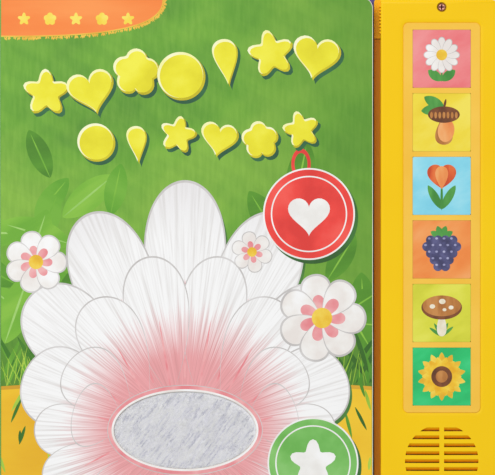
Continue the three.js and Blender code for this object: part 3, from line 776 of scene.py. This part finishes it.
badge_shadow = ink("badge_shadow", "2B5A22 33682A 3D7632", 80.0)
badge_red = ink("badge_red", "E23A34 F4463E FB5A50", 60.0)
badge_green = ink("badge_green", "6DB752 7EC463 92D078", 60.0)
ink_white = ink("ink_white", "F2F0EC FAF9F6 FFFFFF", 90.0)


def badge(u, v, radius, face, mark, mark_size):
    x, y = on_cover(u, v)
    cover_art.shape(disc, x + 1.2 * MM, y - 1.5 * MM, radius, badge_shadow)
    cover_art.shape(disc, x, y, radius, ink_white)
    cover_art.shape(disc, x, y, radius * 0.965, face)
    cover_art.ring(x, y, (radius * 0.8,) * 2, (radius * 0.83,) * 2, ink_white)
    cover_art.shape(mark, x, y, mark_size, ink_white)


tag_x, tag_y = on_cover(301, 164)
cover_art.ring(tag_x, tag_y, (2.6 * MM, 4.4 * MM), (3.9 * MM, 6.2 * MM), badge_red)
badge(309, 214, 18.4 * MM, badge_red, heart, 8.4 * MM)
badge(313, 463, 18.2 * MM, badge_green, star, 9.5 * MM)

band_orange = ink("band_orange", "F4762E FB8A3E FF9A4E", 40.0, (4, 1, 1))
band_rim = ink("band_rim", "EDB438 F4C244 F8D054", 120.0)
band_mark = ink("band_mark", "F6D23E FADD4C FCE765", 120.0)
band_x, band_y = on_cover(0, HEAD_PIXEL)
for number in range(FEATHER_COUNT):
    u, v = bun(chance.uniform(-math.pi / 2, 0))
    x, y = band_x + u * BAND_HALF[0], band_y + v * BAND_HALF[1]
    turn = math.degrees(math.atan2(v * BAND_HALF[0], u * BAND_HALF[1])) - 90
    feather = (0.42 * MM, chance.uniform(0.6, 1.6) * MM)
    cover_art.shape(leaf, x, y, feather, band_rim, turn + chance.uniform(-30, 30))
cover_art.shape(bun, band_x, band_y, BAND_HALF, band_rim)
cover_art.shape(bun, band_x, band_y, [h - BAND_RIM for h in BAND_HALF], band_orange)
for step in range(5):
    x, y = on_cover(24 + 26 * step, 19)
    cover_art.shape(blossom if step % 2 else star, x, y, 2.6 * MM, band_mark)

title_shadow = ink("title_shadow", "20523A 285E3C 326C42", 80.0)
title_edge = ink("title_edge", "B9AC12 CBBE18 D8CC22", 90.0)
title_yellow = ink("title_yellow", "E6DC22 F1E92E F8F34A", 60.0)
title_light = ink("title_light", "FBF9A8 FDFCC4 FFFFE0", 90.0)
title_forms = (star, heart, blossom, disc, drop, star, heart, blossom)


def chubby(form, u, v, size, turn):
    """A raised-looking shape: shadow, darker edge, light rim and face."""
    x, y = on_cover(u, v)
    cover_art.shape(form, x + 1.4 * MM, y - 1.7 * MM, size, title_shadow, turn, 1.04)
    cover_art.shape(form, x + 0.4 * MM, y - 0.5 * MM, size, title_edge, turn, 1.02)
    cover_art.shape(form, x - 0.3 * MM, y + 0.35 * MM, size, title_light, turn)
    cover_art.shape(form, x + 0.15 * MM, y - 0.2 * MM, size, title_yellow, turn, 0.94)


for step in range(7):
    u = 46 + 45 * step
    v = 100 - 0.16 * u + 6 * math.sin(step * 2.4)
    chubby(title_forms[step], u, v, TITLE_SIZE, 14 * math.sin(step * 1.7))
for step in range(6):
    u = 96 + 41 * step
    v = 146 - 0.04 * u + 5 * math.sin(step * 2.1)
    chubby(title_forms[(step + 3) % 8], u, v, SECOND_SIZE, 14 * math.cos(step * 1.3))

# Window rim: rings of grey, pink and white, printed round the die-cut edge of the window.
# They are laid last, so they close the flower's heart round the plush.
RIM_RINGS = ((0.5, 2.6, petal_edge), (0.5, 2.3, pink_ink), (0.08, 0.9, small_white))
for inner, outer, colour in RIM_RINGS:
    halves = [[h + reach * MM for h in WINDOW_HALF] for reach in (inner, outer)]
    cover_art.ring(heart_x, heart_y, *halves, colour)
piece_from("cover_picture", cover_art.bm, cover_art.inks, "cover", "cover_board")
bpy.data.objects.remove(window_die)

# First leaf and endpaper: what the open cover shows, a plain spring scene and a sprigged paper.
# Both are printed like the cover and lie within the hair of air between cover and leaves.
LEAF_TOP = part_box("page_block")[1][2]
SUN_RAYS = 16
leaf_art = Print(
    LEAF_TOP, (SPINE_X + 2.4 * MM, FOOT_Y + 1.5 * MM), (FORE_X - 1.5 * MM, HEAD_Y - 1.5 * MM)
)
cloud_ink = ink("cloud_ink", "EAF5FA F6FBFD FFFFFF", 50.0)
sun_x, sun_y = on_cover(70, 80)
for step in range(SUN_RAYS):
    leaf_art.shape(leaf, sun_x, sun_y, (5 * MM, 26 * MM), heart_yellow, 360 / SUN_RAYS * step)
leaf_art.shape(disc, sun_x, sun_y, 13 * MM, title_yellow)
for u, v, size in (
    (190, 70, 15), (222, 82, 12), (160, 84, 11), (300, 130, 13), (326, 138, 10), (276, 140, 9),
):
    leaf_art.shape(disc, *on_cover(u, v), (size * MM, size * 0.62 * MM), cloud_ink)
leaf_art.shape(disc, *on_cover(90, 560), (92 * MM, 74 * MM), leaf_inks[0])
leaf_art.shape(disc, *on_cover(330, 590), (88 * MM, 74 * MM), leaf_inks[1])
for u, v, height, bloom in (
    (60, 460, 34, badge_red), (120, 480, 26, title_yellow), (185, 470, 36, pink_ink),
    (245, 485, 28, band_orange), (305, 468, 32, small_white),
):
    x, y = on_cover(u, v)
    leaf_art.shape(leaf, x, y, (1.6 * MM, height * MM), blade_inks[0])
    leaf_art.pair(leaf, x, y, (5 * MM, height * 0.6 * MM), blade_inks[1], 35)
    leaf_art.shape(blossom, x, y + height * MM, 9 * MM, bloom)
    leaf_art.shape(disc, x, y + height * MM, 3 * MM, heart_yellow)
piece_from("leaf_picture", leaf_art.bm, leaf_art.inks, "root", "leaf_board")

paper_art = Print(
    COVER_UNDER, (SPINE_X + 2 * MM, FOOT_Y + 2 * MM), (FORE_X - 2 * MM, HEAD_Y - 2 * MM), way=-1
)
SPRIG_PITCH = 24 * MM
for row in range(8):
    for column in range(6):
        x = SPINE_X + (14 * MM if row % 2 else 26 * MM) + column * SPRIG_PITCH
        y = FOOT_Y + 16 * MM + row * SPRIG_PITCH
        if x > FORE_X - 8 * MM:
            continue
        paper_art.pair(leaf, x, y, (2.6 * MM, 8 * MM), leaf_inks[0], 40, 180)
        bloom = small_white if (row + column) % 2 else pink_ink
        paper_art.shape(blossom, x, y, 4 * MM, bloom)
        paper_art.shape(disc, x, y, 1.3 * MM, heart_yellow)
piece_from("endpaper_picture", paper_art.bm, paper_art.inks, "cover", "cover_board")

# Back picture: one plain flower in the panel and a row of small blossoms along the foot.
# It is printed on the outside of the back board, which the book lies on.
BACK_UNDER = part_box("back_cover")[0][2]
BACK_FORE = cad_box[1][0]
back_art = Print(
    BACK_UNDER, (SPINE_X + EDGE, FOOT_Y + EDGE), (BACK_FORE - EDGE, HEAD_Y - EDGE), way=-1
)
BACK_PETALS = 9
PETAL_LAYERS = ((15, 35.6, petal_edge), (14.4, 35, small_white), (6, 17, pink_ink))
for step in range(BACK_PETALS):
    for width, length, tone in PETAL_LAYERS:
        size = (width * MM, length * MM)
        back_art.shape(petal, *PANEL_CENTRE, size, tone, 360 * step / BACK_PETALS)
back_art.shape(disc, *PANEL_CENTRE, 7.5 * MM, heart_yellow)
for step in range(7):
    x, y = (step - 3) * 27 * MM, FOOT_Y + 20 * MM
    back_art.pair(leaf, x, y, (4 * MM, 13 * MM), blade_inks[1], 42, 180)
    back_art.shape(blossom, x, y, 7 * MM, (small_white, pink_ink)[step % 2])
    back_art.shape(disc, x, y, 2.4 * MM, heart_yellow)
piece_from("back_picture", back_art.bm, back_art.inks, "root", "back_board")

# Touch patch: short plush on a woven backing, glued in the window from behind the picture.
# The pile is combed one way; slanting streaks of light and shade are painted into its colour, with
# lighter painted tips.
PILE_COUNT = 20000
PILE_LENGTH = 1.3 * MM
PILE_WIDTH = 0.12 * MM
PILE_LEAN = (-0.42, -0.5, 0.36)
PILE_SPREAD = 0.16
PILE_INSET = 0.985
BACKING = 0.3 * MM
TUFT = (3.4 * MM, 0.55 * MM)
TUFT_GRID = (128, 64)
COMBED = math.radians(52)
patch_half = [(patch_high[i] - patch_low[i]) / 2 for i in (0, 1)]


def stock(name, tones, scale, roughness, fine, depth=GRAIN_DEPTH, strength=0.3, **finish):
    """A plain stock: its own tones in soft patches, with a fine relief."""
    material, tree, surface = new_finish(name, roughness, **finish)
    paint(tree, surface, ramp(tree, grain(tree, scale), tones))
    relief(tree, surface, grain(tree, fine), depth, strength)
    return material


woven = [(0.3, "E6E5EC"), (0.7, "F6F5FA")]
plush_back = stock("plush_backing", woven, 900.0, 0.95, 1800.0, 0.1 * MM, 0.5)
bm = bmesh.new()
bmesh.ops.create_circle(bm, cap_ends=True, radius=1.0, segments=WINDOW_SIDES)
bmesh.ops.scale(bm, verts=bm.verts, vec=(*patch_half, 1))
bmesh.ops.translate(bm, verts=bm.verts, vec=(heart_x, heart_y, patch_low[2]))
raise_to(bm, patch_low[2] + BACKING)
backing = piece_from("plush_backing", bm, [plush_back], "cover", "plush", "touch_patch")

plush_pile, tree, surface = new_finish("plush_pile", 0.85)
tone = add(tree, "Attribute", attribute_name="tone").outputs["Fac"]
paint(tree, surface, ramp(tree, tone, [(0.0, "C6C7D6"), (0.42, "FAFAFE"), (1.0, "FFFFFF")]))
surface.inputs["Sheen Weight"].default_value = 0.6
surface.inputs["Sheen Roughness"].default_value = 0.5
spread = np.random.default_rng(5)
radius = np.sqrt(spread.random(PILE_COUNT)) * PILE_INSET
angle = spread.random(PILE_COUNT) * math.tau
px = radius * np.cos(angle) * patch_half[0]
py = radius * np.sin(angle) * patch_half[1]
sweep = np.sin(px * 230 + py * 540) * 0.5 + np.sin(px * 610 - py * 170 + 1.7) * 0.35
lean_x = PILE_LEAN[0] + 0.16 * sweep + spread.normal(0, PILE_SPREAD, PILE_COUNT)
lean_y = PILE_LEAN[1] + 0.12 * sweep + spread.normal(0, PILE_SPREAD, PILE_COUNT)
length = PILE_LENGTH * (0.8 + 0.4 * spread.random(PILE_COUNT))
lean = np.stack([lean_x, lean_y, np.full(PILE_COUNT, PILE_LEAN[2])], 1)
lean /= np.linalg.norm(lean, axis=1)[:, None]
root_z = np.full(PILE_COUNT, patch_low[2] + BACKING * 0.9)
root_point = np.stack([heart_x + px, heart_y + py, root_z], 1)
turn = spread.random(PILE_COUNT) * math.tau
corners = []
for corner in range(3):
    way = turn + corner * math.tau / 3
    offset = np.stack([np.cos(way), np.sin(way), np.zeros(PILE_COUNT)], 1) * PILE_WIDTH
    corners.append(root_point + offset)
tip = root_point + lean * length[:, None]
points = np.stack([*corners, tip], 1).reshape(-1, 3)
first = np.arange(PILE_COUNT)[:, None] * 4
blade_faces = ((0, 2, 1), (0, 1, 3), (1, 2, 3), (2, 0, 3))
faces = np.concatenate([first + np.array(face) for face in blade_faces])
pile_mesh = bpy.data.meshes.new("touch_pile")
pile_mesh.from_pydata(points.tolist(), [], faces.tolist())
across = -px * math.sin(COMBED) + py * math.cos(COMBED)
down = px * math.cos(COMBED) + py * math.sin(COMBED)
rows = (across / TUFT[1]).astype(int) % TUFT_GRID[0]
shift = spread.random(TUFT_GRID[0])[rows]
columns = (down / TUFT[0] + shift).astype(int) % TUFT_GRID[1]
tuft_light_and_shade = spread.random(TUFT_GRID)[rows, columns]
# Painted light and shade: each combed tuft gets its own lightness, swept into slanting streaks.
tones = np.clip(0.16 + 0.9 * tuft_light_and_shade + 0.1 * sweep + spread.normal(0, 0.12, PILE_COUNT), 0, 1)
attribute = pile_mesh.attributes.new("tone", "FLOAT", "POINT")
tones_with_lit_tips = np.repeat(tones, 4)
# Painted highlight: each blade's tip is painted lighter than its root.
tones_with_lit_tips[3::4] = np.clip(tones_with_lit_tips[3::4] + 0.12, 0, 1)
attribute.data.foreach_set("value", tones_with_lit_tips.astype(np.float32))
pile_mesh.materials.append(plush_pile)
pile = placed("touch_pile", pile_mesh)
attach(pile, "cover")
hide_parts("touch_patch")

# Sound case: front shell, back tray and battery drawer, moulded in one glossy yellow plastic.
# The mould leaves a very fine texture; deeper orange is painted shade in the grille's slots and on
# the ledge beside the leaves.
cone_low, cone_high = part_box("speaker_cone")
grille_axis = [(cone_low[i] + cone_high[i]) / 2 for i in (0, 1)]
GRILLE_REACH = 15 * MM
SLOT_DEPTH = 1.5 * MM
SLOT_MOUTH = 0.04 * MM
(FACE_X, _, _), (_, _, CASE_TOP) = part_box("case_front")


def case_plastic(name, low="FDCB00", high="FFD203", ledge_shade=None):
    """The plastic, with painted shade in the grille's slots and on a ledge beside the leaves."""
    material, tree, surface = new_finish(name, 0.36, coat=0.03, gloss=0.22)
    colour = ramp(tree, grain(tree, 18.0, detail=3.0), [(0.3, low), (0.7, high)])
    if ledge_shade:
        colour = mixed(tree, calc(tree, "LESS_THAN", here(tree, "X"), FACE_X), colour, ledge_shade)
    # Painted shade: inside the grille the colour deepens to orange and brown down into the slots.
    grille_shade_mask = calc(tree, "LESS_THAN", from_axis(tree, grille_axis), GRILLE_REACH)
    depth = along(tree, "Z", CASE_TOP - SLOT_MOUTH, CASE_TOP - SLOT_DEPTH)
    deep = ramp(tree, depth, [(0.0, high), (0.06, "FDC414"), (0.55, "F8B414"), (1.0, "D8901A")])
    paint(tree, surface, mixed(tree, grille_shade_mask, colour, deep))
    relief(tree, surface, grain(tree, 900.0, detail=2.0), GRAIN_DEPTH, 0.35)
    return material


shell_plastic = case_plastic("shell_plastic")
# Painted shade: the tray and the drawer are painted a deeper orange left of the front shell's face,
# on the ledge in the gap.
tray_plastic = case_plastic("tray_plastic", ledge_shade="DE9210")
drawer_plastic = case_plastic("drawer_plastic", ledge_shade="FFC014")
moulded_copy("case_shell", "case_front", shell_plastic, "root", "yellow_plastic")
moulded_copy("case_tray", "case_back", tray_plastic, "root", "yellow_plastic")
moulded_copy("drawer_shell", "battery_drawer", drawer_plastic, "root", "yellow_plastic")

# Thumb ribs: short upright ribs, moulded in one with the drawer on its wall above the ledge.
# They give a thumb its hold when the drawer is pulled out.
RIB_COUNT = 9
RIB_PITCH = 1.32 * MM
RIB_WIDTH = 0.7 * MM
RIB_PROUD = 0.5 * MM
RIB_ROOT = 0.4 * MM
RIB_FOOT = 10.0 * MM
RIB_HEAD = CASE_TOP - 1.4 * MM
RIB_FIRST = FOOT_Y + 191.6 * MM
RIB_EDGE = 0.15 * MM
rib_x = FACE_X + (RIB_ROOT - RIB_PROUD) / 2
rib_z = (RIB_HEAD + RIB_FOOT) / 2
bm = bmesh.new()
for number in range(RIB_COUNT):
    verts = bmesh.ops.create_cube(bm, size=1.0)["verts"]
    bmesh.ops.scale(bm, verts=verts, vec=(RIB_PROUD + RIB_ROOT, RIB_WIDTH, RIB_HEAD - RIB_FOOT))
    bmesh.ops.translate(bm, verts=verts, vec=(rib_x, RIB_FIRST + number * RIB_PITCH, rib_z))
proud = [e for e in bm.edges if all(v.co.x < FACE_X for v in e.verts)]
outer = [e for e in proud if any(v.co.z > rib_z for v in e.verts)]
bmesh.ops.bevel(
    bm, geom=outer, offset=RIB_EDGE, segments=2, profile=0.5, affect="EDGES", material=-1,
)
piece_from("thumb_ribs", bm, [drawer_plastic], "root", "yellow_plastic")

# Battery screw: copper-plated steel with a cross recess, driven into the drawer.
# Its rim and the bottom of the cross are painted dark, as painted shade; the flat of the head is
# bright.
SCREW_RIM = 1.2 * MM
RECESS_BELOW = 0.08 * MM
SCREW_BEVEL = 0.04 * MM
screw_low, screw_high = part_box("battery_screw")
screw_axis = [(screw_low[i] + screw_high[i]) / 2 for i in (0, 1)]
copper, tree, surface = new_finish("copper_plating", 0.32, metallic=0.75)
worn = ramp(tree, grain(tree, 1800.0), [(0.35, "D9937C"), (0.6, "F2BBA8"), (0.8, "FFD6C8")])
# Painted shade: dark brown round the rim beside the hole's wall, dark red in the cross recess.
rim_shade_mask = calc(tree, "GREATER_THAN", from_axis(tree, screw_axis), SCREW_RIM)
cross_shade_mask = calc(tree, "LESS_THAN", here(tree, "Z"), screw_high[2] - RECESS_BELOW)
paint(tree, surface, mixed(tree, cross_shade_mask, mixed(tree, rim_shade_mask, worn, "6E3A1E"), "4A1C22"))
relief(tree, surface, grain(tree, 2500.0), GRAIN_DEPTH)
moulded_copy("drawer_screw", "battery_screw", copper, "root", "copper_screw", SCREW_BEVEL)

# Picture strip: one printed satin film let into the case, which shows the six keys.
# It is cut close round each key, so only a hair line parts the film from a picture.
FILM_CORNER = 2 * MM
KEY_SLIT = 0.06 * MM
strip_low, strip_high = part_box("picture_strip")
keys = [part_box(f"picture_key_{row}") for row in range(1, 7)]
KEY_END_LIP = 0.8 * MM
KEY_HALF = (keys[0][1][1] - keys[0][0][1]) / 2 - KEY_END_LIP
key_x = (keys[0][0][0] + keys[0][1][0]) / 2
key_rows = [(low[1] + high[1]) / 2 for low, high in keys]
lines_x = [strip_low[0], key_x - KEY_HALF - KEY_SLIT, key_x + KEY_HALF + KEY_SLIT, strip_high[0]]
lines_y = [strip_low[1]]
for row_y in reversed(key_rows):
    lines_y += [row_y - KEY_HALF - KEY_SLIT, row_y + KEY_HALF + KEY_SLIT]
lines_y.append(strip_high[1])
film_tones = [(0.3, "FBC53F"), (0.7, "FFCF52")]
satin_film = stock("satin_film", film_tones, 45.0, 0.42, 1100.0, coat=0.06, gloss=0.25)
bm = bmesh.new()
bmesh.ops.create_grid(bm, x_segments=3, y_segments=len(lines_y) - 1, size=1.0)
for vertex in bm.verts:
    column = round((vertex.co.x + 1) / 2 * 3)
    row = round((vertex.co.y + 1) / 2 * (len(lines_y) - 1))
    vertex.co = (lines_x[column], lines_y[row], strip_low[2])
openings = []
for face in bm.faces:
    middle = face.calc_center_median()
    over_key = any(abs(middle.y - row_y) < KEY_HALF for row_y in key_rows)
    if over_key and abs(middle.x - key_x) < KEY_HALF:
        openings.append(face)
bmesh.ops.delete(bm, geom=openings, context="FACES")
corner_verts = [v for v in bm.verts if len(v.link_faces) == 1]
bmesh.ops.bevel(
    bm, geom=corner_verts, offset=FILM_CORNER, segments=8, profile=0.5, affect="VERTICES",
    material=-1,
)
raise_to(bm, strip_high[2])
piece_from("picture_film", bm, [satin_film], "root", "printed_film", "picture_strip")

# Picture keys: moulded caps, each printed with a plain nature motif on its own colour.
# The motifs are generic ones: a daisy, an acorn, a tulip, a berry, a mushroom and a sunflower.
KEY_TOP = keys[0][1][2]
PICTURE_INSET = 0.15 * MM
MOTIF_SHARE = 0.95
KEY_COLOURS = (
    ("pink", "F1787C F58A8C F79A9A"), ("yellow", "F2D632 F7E03E FAE85A"),
    ("blue", "7CD2EA 8CDDF1 A2E6F5"), ("orange", "F58C40 F99C50 FBAA64"),
    ("lime", "D2D434 DFE040 E9E955"), ("green", "1FB967 28C973 3CD484"),
)
stem_green = ink("stem_green", "3E8A36 4E9C42 60AE50", 200.0, (1, 4, 1))
bark_dark = ink("bark_dark", "5C3318 713F1E 874E28", 260.0)
bark_light = ink("bark_light", "A7672E BC7A3A CE8E4C", 260.0, (1, 4, 1))
berry_dark = ink("berry_dark", "3A3A5E 4A4A74 5E5E8A", 260.0)
berry_light = ink("berry_light", "8A8AB4 A0A0C6 B8B8D8", 260.0)
cream = ink("cream", "EADFC0 F4ECD4 FBF6E6", 220.0)
tulip_red = ink("tulip_red", "CC4A22 E0602C EE7A3C", 220.0, (1, 4, 1))
tulip_light = ink("tulip_light", "EE8A48 F59E58 F9B270", 220.0, (1, 4, 1))
sun_petal = ink("sun_petal", "F0B41C F8CA30 FCDC4E", 220.0)


def daisy(lay):
    lay(leaf, 0, -0.85, (0.07, 0.8), stem_green)
    for side in (-1, 1):
        lay(leaf, 0, -0.8, (0.34, 0.62), stem_green, side * 52)
    for step in range(12):
        lay(petal, 0, 0.14, (0.3, 0.66), petal_edge, 30 * step)
        lay(petal, 0, 0.14, (0.26, 0.63), small_white, 30 * step)
    lay(disc, 0, 0.14, (0.2, 0.2), heart_yellow)


def acorn(lay):
    for turn in (60, 96):
        lay(leaf, 0.1, 0.5, (0.4, 0.85), stem_green, turn)
    lay(drop, 0.08, -0.2, (0.62, 0.62), bark_light, 180)
    lay(disc, 0.16, -0.3, (0.3, 0.42), tulip_light, -8)
    lay(disc, 0.08, 0.28, (0.58, 0.3), bark_dark)
    for step in range(7):
        lay(disc, 0.08 + 0.15 * (step - 3), 0.26, (0.05, 0.12), bark_light)
    lay(leaf, 0.08, 0.5, (0.09, 0.36), bark_dark, -12)


def tulip(lay):
    lay(leaf, 0, -0.9, (0.09, 1.0), stem_green)
    for side in (-1, 1):
        lay(leaf, 0, -0.85, (0.3, 1.0), stem_green, side * 30)
    for side in (-1, 1):
        lay(petal, 0, -0.1, (0.62, 0.92), tulip_red, side * 22)
    lay(petal, 0, -0.12, (0.5, 0.84), tulip_light)


def berry(lay):
    for turn in (-60, -20, 20, 60):
        lay(leaf, 0, 0.42, (0.24, 0.46), stem_green, turn)
    for row, count in enumerate((4, 5, 4, 3, 2)):
        for step in range(count):
            across = (step - (count - 1) / 2) * 0.27
            rise = 0.34 - 0.24 * row
            lay(disc, across, rise, (0.17, 0.17), berry_dark)
            lay(disc, across - 0.05, rise + 0.06, (0.05, 0.04), berry_light)


def mushroom(lay):
    for turn in (-50, -25, 30, 55):
        lay(leaf, 0, -0.85, (0.12, 0.55), stem_green, turn)
    lay(drop, 0, -0.3, (0.34, 0.55), cream, 180)
    lay(disc, 0, 0.2, (0.74, 0.44), bark_dark)
    lay(disc, 0, 0.26, (0.7, 0.38), bark_light)
    for across, rise, size in (
        (-0.34, 0.24, 0.1), (0.02, 0.42, 0.12), (0.34, 0.2, 0.09), (0.1, 0.12, 0.07),
    ):
        lay(disc, across, rise, (size, size * 0.8), cream)


def sunflower(lay):
    for ring_turn, size, tone in ((0, 0.88, heart_yellow), (12, 0.72, sun_petal)):
        for step in range(14):
            lay(leaf, 0, 0, (0.3, size), tone, 360 * step / 14 + ring_turn)
    lay(disc, 0, 0, (0.38, 0.38), bark_dark)
    lay(disc, 0, 0, (0.22, 0.22), bark_light)


def layer_of(art, x, y, unit):
    """A way to lay shapes on a key, with places and sizes as shares of the key's half width."""
    def lay(form, across, rise, size, material, turn=0.0):
        shares = [side * unit for side in size]
        art.shape(form, x + across * unit, y + rise * unit, shares, material, turn)

    return lay


for row, motif in enumerate((daisy, acorn, tulip, berry, mushroom, sunflower)):
    colour, tones = KEY_COLOURS[row]
    field = ink(f"key_field_{colour}", tones, 90.0, (2, 1, 1), 0.5, 0.4)
    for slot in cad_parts[f"picture_key_{row + 1}"].material_slots:
        slot.material = field
    limit = KEY_HALF - PICTURE_INSET
    key_y = key_rows[row]
    art = Print(KEY_TOP, (key_x - limit, key_y - limit), (key_x + limit, key_y + limit))
    motif(layer_of(art, key_x, key_y, MOTIF_SHARE * KEY_HALF))
    piece_from(f"key_picture_{row + 1}", art.bm, art.inks, f"key_{row + 1}", f"key_{colour}")

# Rubber domes: one moulded cap of pale silicone rubber under each key, glued to the circuit board.
# In the book a dome springs its key back and gives way when pressed; here each dome is a copy with
# its own mesh.
milky = [(0.35, "BBBEC2"), (0.5, "C9CCD0"), (0.65, "D6D9DC")]
pale_rubber = stock("pale_rubber", milky, 500.0, 0.7, 1000.0)
for row in range(1, 7):
    node = f"rubber_dome_{row}"
    dome = moulded_copy(f"dome_{row}", node, pale_rubber, "root", "pale_rubber")
    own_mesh(dome)

# Inner works: cells, contacts, board, speaker and screws, which show through the grille at most.
# Each keeps the shape it is made in, with the finish of its own stock.
INNER = (
    ("nickel_steel", "A9ABAE C2C4C6 D6D7D8", 0.3, 1.0, 900.0,
     ["battery_cell_1", "battery_cell_2", "battery_cell_3", "speaker_magnet"]
     + [f"case_screw_{number}" for number in range(1, 7)]),
    ("brass_leaf", "A9832E C7A24A DDBB66", 0.3, 1.0, 900.0,
     ["cell_contact_plus", "cell_contact_minus", "feed_finger_plus", "feed_finger_minus"]),
    ("solder_resist", "175834 1F6B3F 2A7C4B", 0.4, 0.0, 300.0, ["circuit_board"]),
    ("black_resin", "0C0C0D 141414 1D1D1E", 0.25, 0.0, 300.0, ["sound_chip"]),
    ("black_mylar", "1C1C1E 2A2A2C 39393C", 0.45, 0.0, 500.0, ["speaker_cone"]),
    # Painted reflection: the steel frame is tinted amber for yellow light bounced onto it from the
    # case.
    ("steel_with_painted_bounce", "B07A30 BE863A CA9244", 0.6, 0.2, 900.0, ["speaker_frame"]),
    ("red_sleeve", "A82019 C02A24 D03A32", 0.55, 0.0, 700.0, ["speaker_lead_red"]),
    ("black_sleeve", "141414 1C1C1C 282828", 0.55, 0.0, 700.0, ["speaker_lead_black"]),
)
for name, tones, roughness, metallic, scale, nodes in INNER:
    stops = list(zip((0.35, 0.5, 0.65), tones.split()))
    material = stock(name, stops, scale, roughness, scale * 2, metallic=metallic)
    for node in nodes:
        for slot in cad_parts[node].material_slots:
            slot.material = material
